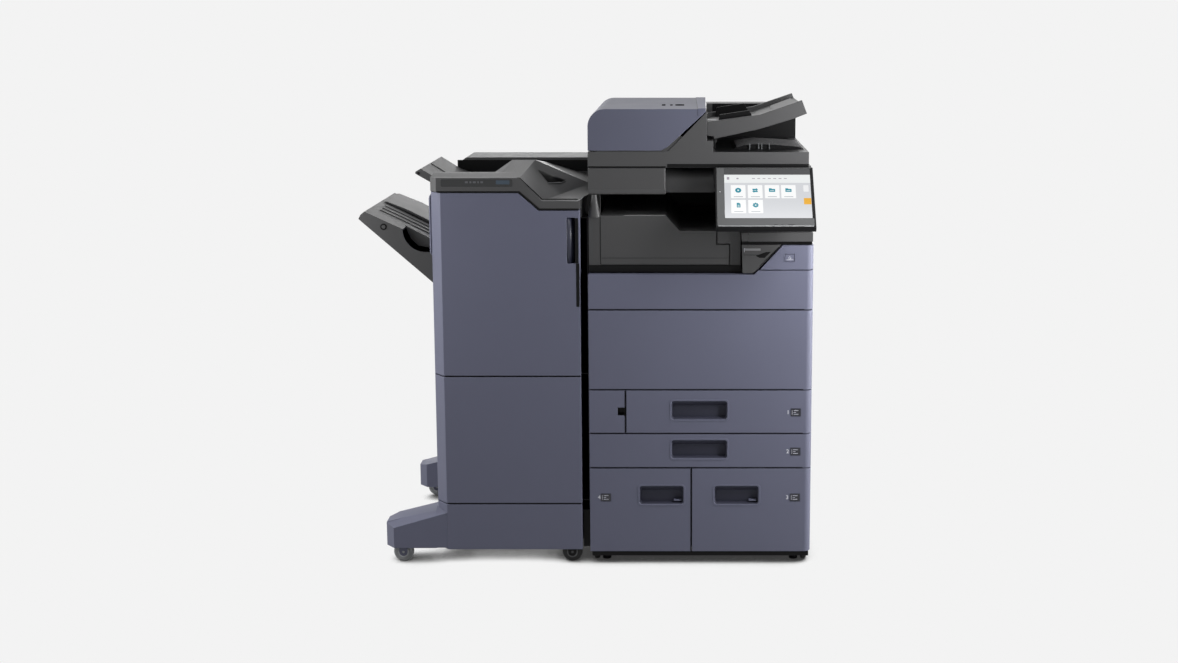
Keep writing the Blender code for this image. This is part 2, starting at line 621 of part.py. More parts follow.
def tower():
    """The block at the right that carries the scanner, the ledge and the screen's arm."""
    top = SCAN_Z - CLEAR
    front = FRAME_FRONT
    outline = [(front, UPPER_Z[1] + SWITCH_STEP + CLEAR), (FRAME_BACK - CLEAR, UPPER_Z[1] + SWITCH_STEP + CLEAR),
               (FRAME_BACK - CLEAR, top), (front, top), (front, LEDGE_Z + LEDGE_HEIGHT),
               (0.002, LEDGE_Z + LEDGE_HEIGHT), (0.002, LEDGE_Z), (front, LEDGE_Z)]
    block = prism(outline, "X", TOWER_X, HALF - SKIN - CLEAR)
    cut(block, box((TOWER_X + WALL, HALF - SKIN - CLEAR - WALL), (front + WALL, FRAME_BACK - 0.006),
                   (UPPER_Z[1] - 0.01, top - 0.006)))
    join(block, box((TOWER_X + 0.001, TOWER_X + 0.16), (FRAME_FRONT + 0.01, FRAME_FRONT + 0.03),
                    (ENGINE_TOP + CLEAR, UPPER_Z[1] + SWITCH_STEP + 0.06)),
         box((TOWER_X + 0.001, TOWER_X + 0.16), (FRAME_BACK - 0.035, FRAME_BACK - 0.02),
             (ENGINE_TOP + CLEAR, UPPER_Z[1] + SWITCH_STEP + 0.06)))
    trim = [(TOWER_X, UPPER_Z[1] + REVEAL), (TOWER_X + 0.0125, UPPER_Z[1] + REVEAL),
            (TOWER_X + 0.0125 + 0.072, SWITCH_Z[1]), (TOWER_X, SWITCH_Z[1])]
    join(block, prism(trim, "Y", 0.012, front + 0.002))
    slot_z = SWITCH_Z[1] - 0.016
    cut(block, box((TOWER_X + 0.010, TOWER_X + 0.040), (0.0, 0.020), (slot_z - 0.004, slot_z + 0.004)))
    give(block, "right_tower", DARK)


GLASS_X = (-0.245, 0.215)
GLASS_Y = (0.140, 0.470)


def scanner():
    """The housing with its glass, and the lamp carriage that runs under it."""
    top = SCAN_Z + SCAN_HEIGHT
    right = HALF - SKIN - CLEAR
    plan = [(-HALF, SCAN_FRONT), (SCAN_NOTCH_X - 0.004, SCAN_FRONT), (SCAN_NOTCH_X, SCAN_FRONT + 0.006),
            (SCAN_NOTCH_X, SCAN_NOTCH_Y), (right, SCAN_NOTCH_Y), (right, SCAN_BACK), (-HALF, SCAN_BACK)]
    housing = prism(plan, "Z", SCAN_Z, top)
    floor = SCAN_Z + 0.006
    cavity = box((GLASS_X[0] - 0.020, GLASS_X[1] + 0.050), (GLASS_Y[0] - 0.030, GLASS_Y[1] + 0.030),
                 (floor, top - 0.008))
    window = box((GLASS_X[0] + 0.006, GLASS_X[1] - 0.006), (GLASS_Y[0] + 0.006, GLASS_Y[1] - 0.006),
                 (floor + 0.01, top + 0.01))
    seat = box((GLASS_X[0] - CLEAR, GLASS_X[1] + CLEAR), (GLASS_Y[0] - CLEAR, GLASS_Y[1] + CLEAR),
               (top - 0.004 - CLEAR, top + 0.01))
    cut(housing, cavity, window, seat)
    y, z = FEEDER_PIVOT
    for x in FEEDER_LUGS:
        lug = prism([[(y - 0.003, top - 0.01), (y + 0.012, top - 0.01), (y + 0.012, z + 0.002),
                      (y + 0.008, z + 0.005), (y - 0.003, z + 0.005)],
                     circle((y, z), FEEDER_PIN_R + 0.0007, 8)], "X", x - 0.010, x + 0.010)
        join(housing, lug)
    give(housing, "scanner_housing", DARK)
    give(box(GLASS_X, GLASS_Y, (top - 0.004, top)), "platen_glass", GLASS)
    start = GLASS_X[0] - 0.020 + CLEAR
    slide = body("scanner_carriage_slide", (start, GLASS_Y[0], floor), ROOT)
    carriage = box((start, start + 0.055), (GLASS_Y[0] - 0.030 + CLEAR, GLASS_Y[1] + 0.030 - CLEAR),
                   (floor + CLEAR, floor + 0.036))
    cut(carriage, box((start + 0.008, start + 0.047), (GLASS_Y[0], GLASS_Y[1]), (floor + 0.02, floor + 0.05)))
    give(carriage, "scanner_carriage", BLACK, slide)


# ---------------------------------------------------------------- operation panel
def screen_point(along, behind):
    """Y and Z of a point that far up the screen and that far behind its face."""
    tilt = math.radians(SCREEN_TILT)
    return (SCREEN_FOOT[0] + along * math.cos(tilt) + behind * math.sin(tilt),
            SCREEN_FOOT[1] + along * math.sin(tilt) - behind * math.cos(tilt))


def operation_panel():
    """The tilting touch panel on its two-eared arm."""
    right = SCREEN_LEFT + SCREEN_WIDTH
    pivot = screen_point(SCREEN_PIVOT * SCREEN_LENGTH, SCREEN_ARM)
    middle = (SCREEN_LEFT + right) / 2
    hinge = body("panel_tilt", (middle, *pivot), ROOT)
    side = [screen_point(0.0, 0.004), screen_point(0.004, 0.0), screen_point(SCREEN_LENGTH - 0.004, 0.0),
            screen_point(SCREEN_LENGTH, 0.004), screen_point(SCREEN_LENGTH, 0.015),
            screen_point(SCREEN_LENGTH * 0.8, SCREEN_THICK), screen_point(SCREEN_LENGTH * 0.15, SCREEN_THICK),
            screen_point(0.0, 0.014)]
    housing = prism(side, "X", SCREEN_LEFT, right)
    face = [screen_point(SCREEN_LENGTH * 0.215 - CLEAR, -0.01), screen_point(SCREEN_LENGTH * 0.965 + CLEAR, -0.01),
            screen_point(SCREEN_LENGTH * 0.965 + CLEAR, 0.002 + CLEAR),
            screen_point(SCREEN_LENGTH * 0.215 - CLEAR, 0.002 + CLEAR)]
    glass_x = (SCREEN_LEFT + 0.010, right - 0.008)
    cut(housing, prism(face, "X", glass_x[0] - CLEAR, glass_x[1] + CLEAR))
    lug_half, ear = 0.038, 0.018
    lug = [screen_point(SCREEN_PIVOT * SCREEN_LENGTH - 0.010, SCREEN_THICK - 0.003),
           screen_point(SCREEN_PIVOT * SCREEN_LENGTH + 0.010, SCREEN_THICK - 0.003),
           screen_point(SCREEN_PIVOT * SCREEN_LENGTH + 0.008, SCREEN_ARM + 0.006),
           screen_point(SCREEN_PIVOT * SCREEN_LENGTH - 0.008, SCREEN_ARM + 0.006)]
    join(housing, prism(lug, "X", middle - lug_half, middle + lug_half))
    reach = lug_half + CLEAR + ear - 0.002
    join(housing, rod(AXLE_R, "X", (middle, *pivot), -reach, reach, 12))
    give(housing, "operation_panel", DARK, hinge)
    glass = [screen_point(SCREEN_LENGTH * 0.215, 0.0), screen_point(SCREEN_LENGTH * 0.965, 0.0),
             screen_point(SCREEN_LENGTH * 0.965, 0.002), screen_point(SCREEN_LENGTH * 0.215, 0.002)]
    give(prism(glass, "X", *glass_x), "touch_screen", GLASS, hinge)

    inner, outer = lug_half + CLEAR, lug_half + CLEAR + ear
    tip, root, back = pivot[0] - 0.006, pivot[0] + 0.050, FRAME_FRONT - CLEAR
    plan = [(middle - outer, tip), (middle - inner, tip), (middle - inner, root), (middle + inner, root),
            (middle + inner, tip), (middle + outer, tip), (middle + outer, back), (middle - outer, back)]
    arm = prism(plan, "Z", pivot[1] - 0.012, pivot[1] + 0.0115)
    cut(arm, rod(AXLE_R + CLEAR, "X", (middle, *pivot), -outer - 0.01, outer + 0.01, 12))
    give(arm, "panel_arm", DARK)


# ---------------------------------------------------------------- document feeder
FEEDER_PIVOT = (FEEDER_BACK + 0.006, SLAB_Z + 0.010)
FEEDER_PIN_R = 0.002
FEEDER_LUGS = (-0.215, 0.205)
FEEDER_Y = (SCAN_FRONT, FEEDER_BACK)
TRAY_Y = (0.075, 0.455)
TRAY_AXIS = (0.0220, FEEDER_TOP - 0.0410)
HOOD_AXIS = (-HALF + 0.006, HOOD_FOOT_Z + 0.0088)


def feeder_body():
    """The lid over the glass: slab, feed housing, exit wall and the raised rear part."""
    hinge = body("feeder_hinge", (0.0, *FEEDER_PIVOT), ROOT)
    cover_gap = REVEAL
    outline = [(-HALF, SLAB_Z), (FEEDER_RIGHT, SLAB_Z), (FEEDER_RIGHT, SLAB_TOP), (EXIT_X, SLAB_TOP),
               (EXIT_X, SLAB_TOP + 0.029), (0.0155, SLAB_TOP + 0.029), (0.0155, FEEDER_TOP - 0.008),
               (HOOD_TOP_X + cover_gap, FEEDER_TOP - 0.008), (HOOD_FOOT_X + cover_gap, SLAB_TOP + 0.002),
               (HOOD_FOOT_X - 0.017, SLAB_TOP + 0.0005), (-HALF, SLAB_TOP + 0.0005)]
    lid = prism(outline, "Y", *FEEDER_Y)
    cut(lid, box((-HALF + 0.02, FEEDER_RIGHT - 0.02), (FEEDER_Y[0] + 0.02, FEEDER_Y[1] - 0.02),
                 (SLAB_Z - 0.01, SLAB_Z + 0.012)))
    wall = box((EXIT_X - 0.010, FEEDER_RIGHT), (0.505, FEEDER_Y[1]), (SLAB_TOP - 0.005, FEEDER_TOP - 0.012))
    guide = prism([(-HALF + 0.020, SLAB_TOP - 0.005), (-0.060, SLAB_TOP - 0.005), (-0.045, SLAB_TOP + 0.040),
                   (-0.200, SLAB_TOP + 0.070), (-HALF + 0.020, SLAB_TOP + 0.050)],
                  "Y", FEEDER_Y[0] + WALL + 0.0006, FEEDER_Y[1] - WALL - 0.0006)
    barrel = rod(0.008, "X", (0.0, *FEEDER_PIVOT), FEEDER_LUGS[0] + 0.010 + CLEAR,
                 FEEDER_LUGS[1] - 0.010 - CLEAR, 12)
    pin = rod(FEEDER_PIN_R, "X", (0.0, *FEEDER_PIVOT), FEEDER_LUGS[0] - 0.008, FEEDER_LUGS[1] + 0.008, 12)
    join(lid, wall, guide, barrel, pin)
    give(lid, "feeder_body", DARK, hinge)
    return hinge


def feeder_hood(hinge):
    """The violet-grey hood over the feed rollers, hinged at the left, and its pick-up roller."""
    hood_hinge = body("feeder_hood_hinge", (HOOD_AXIS[0], FEEDER_Y[0], HOOD_AXIS[1]), hinge)
    corner = (-HALF + FEEDER_RADIUS, FEEDER_TOP - FEEDER_RADIUS)
    outline = [(-HALF, HOOD_FOOT_Z), (HOOD_FOOT_X - 0.018, HOOD_FOOT_Z), (HOOD_FOOT_X, HOOD_FOOT_Z + 0.010),
               (HOOD_TOP_X, FEEDER_TOP - 0.008), (HOOD_TOP_X, FEEDER_TOP),
               *arc(corner, FEEDER_RADIUS, 90, 180, 10)]
    hood = prism(outline, "Y", *FEEDER_Y)
    inner_r = FEEDER_RADIUS - WALL
    inside = [(-HALF + WALL, HOOD_FOOT_Z - 0.01), (HOOD_TOP_X + 0.05, HOOD_FOOT_Z - 0.01),
              (HOOD_TOP_X + 0.05, FEEDER_TOP - 0.012), (HOOD_TOP_X - 0.01, FEEDER_TOP - 0.012),
              (HOOD_TOP_X - 0.02, FEEDER_TOP - WALL), *arc(corner, inner_r, 90, 180, 10)]
    cut(hood, prism(inside, "Y", FEEDER_Y[0] + WALL, FEEDER_Y[1] - WALL))
    give(hood, "feeder_hood", VIOLET, hood_hinge)
    centre = (-0.020, (FEEDER_Y[0] + FEEDER_Y[1]) / 2, FEEDER_TOP - 0.026)
    spin = body("pickup_roller_spin", centre, hood_hinge)
    reach = (FEEDER_Y[1] - FEEDER_Y[0]) / 2 - WALL - CLEAR
    roller = turned([(0.0, reach), (AXLE_R, reach), (AXLE_R, 0.045), (0.011, 0.045), (0.011, -0.045),
                     (AXLE_R, -0.045), (AXLE_R, -reach), (0.0, -reach)], "Y", centre, 20)
    give(roller, "pickup_roller", RUBBER, spin)


def original_tray(hinge):
    """The rising tray that holds the originals, and its two coupled width guides."""
    tray_hinge = body("original_tray_hinge", (TRAY_AXIS[0], TRAY_Y[0], TRAY_AXIS[1]), hinge)
    top = FEEDER_TOP
    side = [(0.0163, top - 0.0450), (0.0185, top - 0.0366), (0.1578, top - 0.0175), (0.2705, top + 0.0210),
            (0.2843, top - 0.0148), (0.2485, top - 0.0285), (0.1578, top - 0.0560), (0.0345, top - 0.0830),
            (0.0345, top - 0.0760), (0.0163, top - 0.0740)]
    tray = prism(side, "Y", *TRAY_Y)
    drop = 0.014
    bed = [(0.0, top - 0.0391 - drop), (0.1578, top - 0.0175 - drop), (0.2578, top + 0.0167 - drop),
           (0.30, top + 0.0310 - drop), (0.30, top + 0.056), (0.0, top + 0.056)]
    cut(tray, prism(bed, "Y", TRAY_Y[0] + 0.014, TRAY_Y[1] - 0.014))
    give(tray, "original_tray", DARK, tray_hinge)

    def bed_height(x):
        return top - 0.0175 - drop + (x - 0.1578) * 0.1376

    for name, y, sign in (("guide_front", TRAY_Y[0] + 0.020, 1), ("guide_rear", TRAY_Y[1] - 0.020, -1)):
        slide = body(name + "_slide", (0.10, y, bed_height(0.10)), tray_hinge)
        x0, x1 = 0.045, 0.145
        outline = [(x0, bed_height(x0) + CLEAR), (x1, bed_height(x1) + CLEAR),
                   (x1 - 0.015, bed_height(x1) + 0.026), (x0 + 0.006, bed_height(x0) + 0.028)]
        give(prism(outline, "Y", min(y, y + sign * 0.008), max(y, y + sign * 0.008)), name, BLACK, slide)


def document_feeder():
    hinge = feeder_body()
    feeder_hood(hinge)
    original_tray(hinge)


# ---------------------------------------------------------------- finisher
FIN_FRONT = FIN_CHAMFER[1] + 0.0006
FIN_BACK = FIN_DEPTH - 0.022
DOCK_X = (-HALF - CLEAR - SHEET, -HALF - CLEAR)
FIN_CASTER_X = FIN_RIGHT - 0.0294
FOOT_REACH = 0.1417         # how far an outrigger stands out at the left
FOOT_CASTER_X = FIN_LEFT - FOOT_REACH + 0.0457
FOOT_Y = (0.001, 0.100)
FOOT_REAR_INSET = 0.020
FOOT_TIP_Z = 0.1080         # an outrigger's top, at its tip and at the finisher's side
FOOT_ROOT_Z = 0.1490


def finisher_plan(deep):
    """The plan of the finisher's front panels: a flat front and a wide chamfer at the left."""
    across, back = FIN_CHAMFER
    plan = [(FIN_LEFT + across, 0.0), (FIN_RIGHT, 0.0), (FIN_RIGHT, deep), (FIN_LEFT, deep)]
    return plan + [(FIN_LEFT, back)] if deep > back else plan


def finisher_frame():
    left = FIN_LEFT + SKIN + CLEAR
    low = 0.0600
    inner_left, inner_right = left + WALL, DOCK_X[0]
    outline = rectangle((left, DOCK_X[1]), (low, FIN_DECK_Z))
    bays = [rectangle((inner_left, inner_right), (low + WALL, FIN_BASE[1])),
            rectangle((inner_left, inner_right), (FIN_BASE[1] + WALL, FIN_LOWER[1])),
            rectangle((inner_left, inner_right), (FIN_LOWER[1] + WALL, FIN_DECK_Z - WALL))]
    frame = prism([outline, *bays], "Y", FIN_FRONT, FIN_BACK)
    slot_z = (FIN_DECK_Z - 0.075, FIN_DECK_Z - 0.025)
    cut(frame, box((DOCK_X[0] - 0.01, DOCK_X[1] + 0.01), (0.10, 0.50), slot_z))
    for y in FIN_CASTER_Y:
        plate_y = (y - 0.022, y + 0.030)
        join(frame, box((FIN_CASTER_X - 0.030, FIN_CASTER_X + 0.0255), plate_y, (low, low + WALL)))
        join(frame, *caster_cheeks("Y", (FIN_CASTER_X, y, FIN_WHEEL_R), FIN_WHEEL_R, low + 0.001))
    give(frame, "finisher_frame", BLACK)


FIN_CASTER_Y = (0.030, FIN_DEPTH - 0.055)


def finisher_covers():
    """Front panels, side and rear casings."""
    deep = FIN_CHAMFER[1]
    for name, tier in (("finisher_base_panel", FIN_BASE), ("finisher_lower_panel", FIN_LOWER)):
        panel = prism(finisher_plan(deep), "Z", *tier)
        across = FIN_CHAMFER[0]
        inside = [(FIN_LEFT + across + 0.002, 0.004), (FIN_RIGHT - WALL, 0.004), (FIN_RIGHT - WALL, deep + 0.01),
                  (FIN_LEFT + 0.007, deep + 0.01), (FIN_LEFT + 0.007, FIN_CHAMFER[1])]
        cut(panel, prism(inside, "Z", tier[0] - 0.01, tier[1] + 0.01))
        give(panel, name, VIOLET)
    side = box((FIN_LEFT, FIN_LEFT + SKIN), (FIN_FRONT, FIN_DEPTH - 0.005), (FIN_BASE_Z, FIN_HIGH_Z - 0.002))
    for y in (0.180, 0.480):
        slot_z = (FIN_HIGH_Z - 0.694, FIN_HIGH_Z - 0.144)
        cut(side, box((FIN_LEFT - 0.01, FIN_LEFT + 0.01), (y - 0.008, y + 0.008), slot_z))
    give(side, "finisher_side_cover", VIOLET)
    left = FIN_LEFT + SKIN + CLEAR
    rear = box((left, DOCK_X[1]), (FIN_BACK + CLEAR, FIN_DEPTH), (FIN_BASE_Z, FIN_DECK_Z - CLEAR))
    cut(rear, box((left + WALL, DOCK_X[1] - WALL), (FIN_BACK - 0.01, FIN_DEPTH - WALL),
                  (FIN_BASE_Z + 0.01, FIN_DECK_Z - 0.01)))
    give(rear, "finisher_rear_cover", VIOLET)


def door_top():
    """X and Z of the door's top edge, from left to right."""
    return [(FIN_LEFT, FIN_HIGH_Z), (FIN_SLANT_X[0], FIN_HIGH_Z), (FIN_SLANT_X[1], FIN_LOW_Z),
            (FIN_RIGHT, FIN_LOW_Z)]


def finisher_door():
    """The front door: hinged at the left, with a vertical finger pull at the right."""
    deep = FIN_CHAMFER[1]
    hinge = body("finisher_door_hinge", (FIN_LEFT + 0.0010, deep - 0.002, 0.75), ROOT)
    face = [(FIN_LEFT - 0.01, FIN_DOOR_FOOT), (FIN_RIGHT + 0.01, FIN_DOOR_FOOT), (FIN_RIGHT + 0.01, FIN_LOW_Z),
            *reversed(door_top()[1:3]), (FIN_LEFT - 0.01, FIN_HIGH_Z)]
    door = prism(finisher_plan(deep), "Z", FIN_DOOR_FOOT - 0.01, FIN_HIGH_Z + 0.01)
    intersect(door, prism(face, "Y", -0.01, deep + 0.01))
    inside = [(FIN_LEFT + 0.034, FIN_DOOR_FOOT + 0.008), (FIN_RIGHT - 0.045, FIN_DOOR_FOOT + 0.008),
              (FIN_RIGHT - 0.045, FIN_LOW_Z - 0.010), (FIN_SLANT_X[1] - 0.004, FIN_LOW_Z - 0.010),
              (FIN_SLANT_X[0] - 0.010, FIN_HIGH_Z - 0.010), (FIN_LEFT + 0.034, FIN_HIGH_Z - 0.010)]
    cut(door, prism(inside, "Y", 0.005, deep + 0.01))
    cut(door, box((FIN_RIGHT - 0.034, FIN_RIGHT - 0.012), (-0.01, 0.026), (FIN_LOW_Z - 0.142, FIN_LOW_Z - 0.019)))
    give(door, "finisher_door", VIOLET, hinge)


TOP_RAIL_Y = 0.087
REAR_RAIL_Y = 0.484


def loft(sections, low):
    """A block through top profiles of equal length, each at its own Y, down to a flat floor."""
    shape = bmesh.new()
    rows = [([shape.verts.new((x, y, z)) for x, z in profile], [shape.verts.new((x, y, low)) for x, z in profile])
            for y, profile in sections]
    last = len(rows[0][0]) - 1
    for (top_a, low_a), (top_b, low_b) in zip(rows, rows[1:]):
        for i in range(last):
            shape.faces.new((top_a[i], top_a[i + 1], top_b[i + 1], top_b[i]))
            shape.faces.new((low_a[i], low_b[i], low_b[i + 1], low_a[i + 1]))
        shape.faces.new((top_a[0], top_b[0], low_b[0], low_a[0]))
        shape.faces.new((top_a[last], low_a[last], low_b[last], top_b[last]))
    for top, bottom in (rows[0], rows[-1]):
        for i in range(last):
            shape.faces.new((top[i], bottom[i], bottom[i + 1], top[i + 1]))
    bmesh.ops.recalc_face_normals(shape, faces=shape.faces)
    mesh = bpy.data.meshes.new("loft")
    shape.to_mesh(mesh)
    shape.free()
    obj = bpy.data.objects.new("loft", mesh)
    PARTS.objects.link(obj)
    return obj


def finisher_top():
    """The charcoal top: front rail with its fascia, sloping hopper, rear rail, and the upper tray."""
    gap = REVEAL
    high, low = FIN_HIGH_Z + gap, FIN_LOW_Z + gap
    rail_top = FIN_HIGH_Z + 0.0400
    floor = FIN_DECK_Z + CLEAR
    drop_x, foot_x = FIN_SLANT_X
    edge = [(FIN_LEFT - 0.01, high), (drop_x, high), (foot_x, low), (0.0, low)]
    fascia = [(FIN_LEFT, high - 0.003), (drop_x, high - 0.003), (foot_x, low - 0.003),
              (DOCK_X[1], low - 0.003), (DOCK_X[1], low + 0.0235), (foot_x + 0.008, low + 0.0235),
              (drop_x + 0.004, rail_top), (FIN_LEFT, rail_top)]
    top = prism(fascia, "Y", 0.0, FIN_CHAMFER[1] + 0.012)
    intersect(top, prism([(FIN_LEFT + 0.026, -0.01), (DOCK_X[1] + 0.01, -0.01), (DOCK_X[1] + 0.01, 0.1),
                          (FIN_LEFT, 0.1), (FIN_LEFT, 0.030)], "Z", low - 0.1, high + 0.2))
    start = FIN_FRONT - 0.004
    right = DOCK_X[1] + 0.010
    rail = prism([(start, floor - 0.002), (TOP_RAIL_Y, floor - 0.002), (TOP_RAIL_Y, rail_top + 0.0070),
                  (TOP_RAIL_Y - 0.03, rail_top + 0.0070), (start, rail_top - 0.001)],
                 "X", FIN_LEFT + 0.004, drop_x + 0.004)
    hopper_x = drop_x - 0.0795
    front_line = [(hopper_x, rail_top - 0.0340), (drop_x, rail_top - 0.0030),
                  (foot_x + 0.008, low + 0.0215), (right, low + 0.0215)]
    ridge_line = [(hopper_x, rail_top), (drop_x - 0.0306, rail_top + 0.0340), (drop_x + 0.0320, rail_top + 0.0340),
                  (right, rail_top - 0.0350)]
    back_line = [(hopper_x, rail_top - 0.0140), (drop_x - 0.0306, rail_top - 0.0040),
                 (drop_x + 0.0320, rail_top - 0.0040), (right, rail_top - 0.0540)]
    hopper = loft([(0.020, front_line), (0.150, ridge_line), (REAR_RAIL_Y + 0.004, back_line)], floor + 0.030)
    deck = box((hopper_x + 0.0035, right + 0.001), (start - 0.001, FIN_BACK), (floor - 0.003, floor + 0.040))
    rear = prism([(FIN_LEFT + 0.004, floor - 0.004), (right + 0.002, floor - 0.004),
                  (right + 0.002, rail_top + 0.0090), (FIN_LEFT + 0.031, rail_top + 0.0090),
                  (FIN_LEFT + 0.014, rail_top - 0.0040), (FIN_LEFT + 0.004, rail_top - 0.0240)],
                 "Y", REAR_RAIL_Y, FIN_DEPTH)
    left_deck = box((FIN_LEFT + 0.005, hopper_x + 0.0135), (start - 0.002, FIN_BACK - 0.001),
                    (floor - 0.005, floor + 0.006))
    join(top, rail, hopper, deck, rear, left_deck)
    beyond = low - 0.1
    cut(top, prism([(FIN_LEFT - 0.01, beyond), *edge, (0.0, beyond)], "Y", -0.02, FIN_FRONT),
        box((FIN_LEFT - 0.01, 0.0), (0.0, FIN_DEPTH + 0.1), (beyond, floor)),
        box((DOCK_X[1], 0.0), (-0.02, FIN_DEPTH + 0.1), (beyond, high + 0.2)),
        prism([(FIN_RIGHT, -0.02), (0.0, -0.02), (0.0, 0.075), (DOCK_X[1], 0.075), (FIN_RIGHT, 0.030)],
              "Z", beyond, high + 0.2))
    give(top, "finisher_top_cover", DARK)
    deck_z = floor + 0.006 + CLEAR
    near, side, tip = hopper_x - 0.0010, FIN_LEFT, FIN_LEFT - 0.0536
    surface = [(near, deck_z), (near, rail_top - 0.0680), (side + 0.0190, rail_top - 0.0220),
               (tip + 0.0152, rail_top + 0.0140), (tip, rail_top + 0.0050), (tip, rail_top),
               (side - 0.0170, rail_top - 0.0210), (side + 0.0200, rail_top - 0.0440), (side + 0.0200, deck_z)]
    tray = prism(surface, "Y", 0.110, 0.465)
    cut(tray, prism([(near - 0.0155, deck_z - 0.01), (near - 0.0155, rail_top - 0.0740),
                     (side + 0.028, rail_top - 0.0380), (side + 0.028, deck_z - 0.01)], "Y", 0.115, 0.460))
    give(tray, "finisher_top_tray", DARK)


def main_tray():
    """The big stacking tray at the left, which the finisher lowers as it fills."""
    root = FIN_LEFT - CLEAR
    base = FIN_HIGH_Z - 0.2540
    lift = body("main_tray_lift", (root, 0.33, base + 0.03), ROOT)
    outline = [(root, base), (root, base + 0.1080), (root - 0.1050, base + 0.1600), (root - 0.1836, base + 0.1970),
               (root - 0.1945, base + 0.1880), (root - 0.2002, base + 0.1770), (root - 0.1906, base + 0.1680)]
    tray = prism(outline, "Y", 0.060, 0.490)
    inside = [(root + 0.01, base + 0.0060), (root + 0.01, base + 0.1020), (root - 0.1036, base + 0.1540),
              (root - 0.1756, base + 0.1870)]
    cut(tray, prism(inside, "Y", 0.064, 0.486))
    scoop = arc((root - 0.0206, base + 0.1480), 0.062, 175, 275, 8)
    cut(tray, prism([*scoop, (root + 0.01, base + 0.0860), (root + 0.01, base + 0.21),
                     (root - 0.0826, base + 0.21)], "Y", 0.05, 0.125))
    liner = prism([(root, base + 0.0900), (root, base + 0.1080), (root - 0.0836, base + 0.1526),
                   (root - 0.0786, base + 0.1380), (root - 0.0686, base + 0.1150), (root - 0.0486, base + 0.0960)],
                  "Y", 0.110, 0.140)
    join(tray, liner)
    give(tray, "finisher_main_tray", DARK, lift)


def outriggers():
    """The two feet that steady the finisher, each over a caster."""
    root = FIN_LEFT
    across = 0.024
    tip = FIN_LEFT - FOOT_REACH
    slope = (FOOT_ROOT_Z - FOOT_TIP_Z) / FOOT_REACH
    flip = FIN_DEPTH - FOOT_REAR_INSET
    for name, mirror, y_wheel in (("outrigger_front", False, FIN_CASTER_Y[0]),
                                  ("outrigger_rear", True, FIN_CASTER_Y[1])):
        end = FOOT_Y[1]
        plan = [(root - CLEAR, 0.0375), (root - CLEAR, end), (tip + across, end), (tip, end - 0.026),
                (tip, 0.028), (tip + across, FOOT_Y[0]), (root - CLEAR, FOOT_Y[0])]
        if mirror:
            plan = [(x, flip - y) for x, y in plan]
        side = [(root + 0.01, 0.0450), (tip - 0.01, 0.0450), (tip - 0.01, FOOT_TIP_Z), (root + 0.01, FOOT_ROOT_Z)]
        foot = prism(plan, "Z", 0.03, FOOT_ROOT_Z + 0.02)
        intersect(foot, prism(side, "Y", -0.01, FIN_DEPTH + 0.01))
        near, far = (flip, flip - 0.030) if mirror else (FOOT_Y[0] - 0.01, 0.030)
        cut(foot, bevel_cutter((tip - 0.02, root + 0.02), near, far, (tip, FOOT_TIP_Z + 0.0005), slope))
        cut(foot, box((FOOT_CASTER_X - 0.032, FOOT_CASTER_X + 0.032),
                      (y_wheel - WHEEL_WIDTH / 2 - CLEAR, y_wheel + WHEEL_WIDTH / 2 + CLEAR), (0.03, 0.064)))
        join(foot, *caster_cheeks("Y", (FOOT_CASTER_X, y_wheel, FIN_WHEEL_R), FIN_WHEEL_R, 0.056))
        give(foot, name, VIOLET)


def bevel_cutter(along, near, far, tip, slope):
    """A wedge that takes the long top edge off an outrigger. It rises with the foot's own slope."""
    drop = 0.0175
    shape = bmesh.new()
    ends = []
    for x in along:
        top = tip[1] + (x - tip[0]) * slope
        ends.append([shape.verts.new((x, near, top - drop)), shape.verts.new((x, near, top + 0.05)),
                     shape.verts.new((x, far, top + 0.05)), shape.verts.new((x, far, top))])
    first, second = ends
    shape.faces.new(first)
    shape.faces.new(list(reversed(second)))
    for i in range(4):
        shape.faces.new((first[i], second[i], second[(i + 1) % 4], first[(i + 1) % 4]))
    bmesh.ops.recalc_face_normals(shape, faces=shape.faces)
    mesh = bpy.data.meshes.new("wedge")
    shape.to_mesh(mesh)
    shape.free()
    obj = bpy.data.objects.new("wedge", mesh)
    PARTS.objects.link(obj)
    return obj


def stapler():
    """The staple head on the finisher's lower shelf, behind the door."""
    shelf = FIN_LOWER[1] + WALL + CLEAR
    unit = box((FIN_LEFT + 0.081, FIN_RIGHT - 0.0974), (0.080, 0.420), (shelf, shelf + 0.060))
    join(unit, box((FIN_LEFT + 0.121, FIN_LEFT + 0.201), (0.085, 0.180), (shelf + 0.050, shelf + 0.160)))
    give(unit, "stapler_unit", STEEL)


# ---------------------------------------------------------------- assembly
def wheels():
    places = ("front_left", "front_right", "rear_left", "rear_right")
    for name, place in zip(places, MAIN_CASTERS):
        wheel(f"caster_wheel_{name}", "X", place, MAIN_WHEEL_R, RUBBER)
    for side, y in zip(("front", "rear"), FIN_CASTER_Y):
        wheel(f"finisher_wheel_{side}_right", "Y", (FIN_CASTER_X, y, FIN_WHEEL_R), FIN_WHEEL_R, GREY)
        wheel(f"finisher_wheel_{side}_left", "Y", (FOOT_CASTER_X, y, FIN_WHEEL_R), FIN_WHEEL_R, GREY)


def centre_on_floor():
    """Moves the assembly so that the middle of its footprint is the origin, with the floor at Z = 0."""
    bpy.context.view_layer.update()
    graph = bpy.context.evaluated_depsgraph_get()
    corners = []
    for obj in PARTS.objects:
        if obj.type == "MESH":
            shape = obj.evaluated_get(graph)
            corners += [shape.matrix_world @ Vector(corner) for corner in shape.bound_box]
    for axis in (0, 1):
        values = [corner[axis] for corner in corners]
        ROOT.location[axis] = -(min(values) + max(values)) / 2


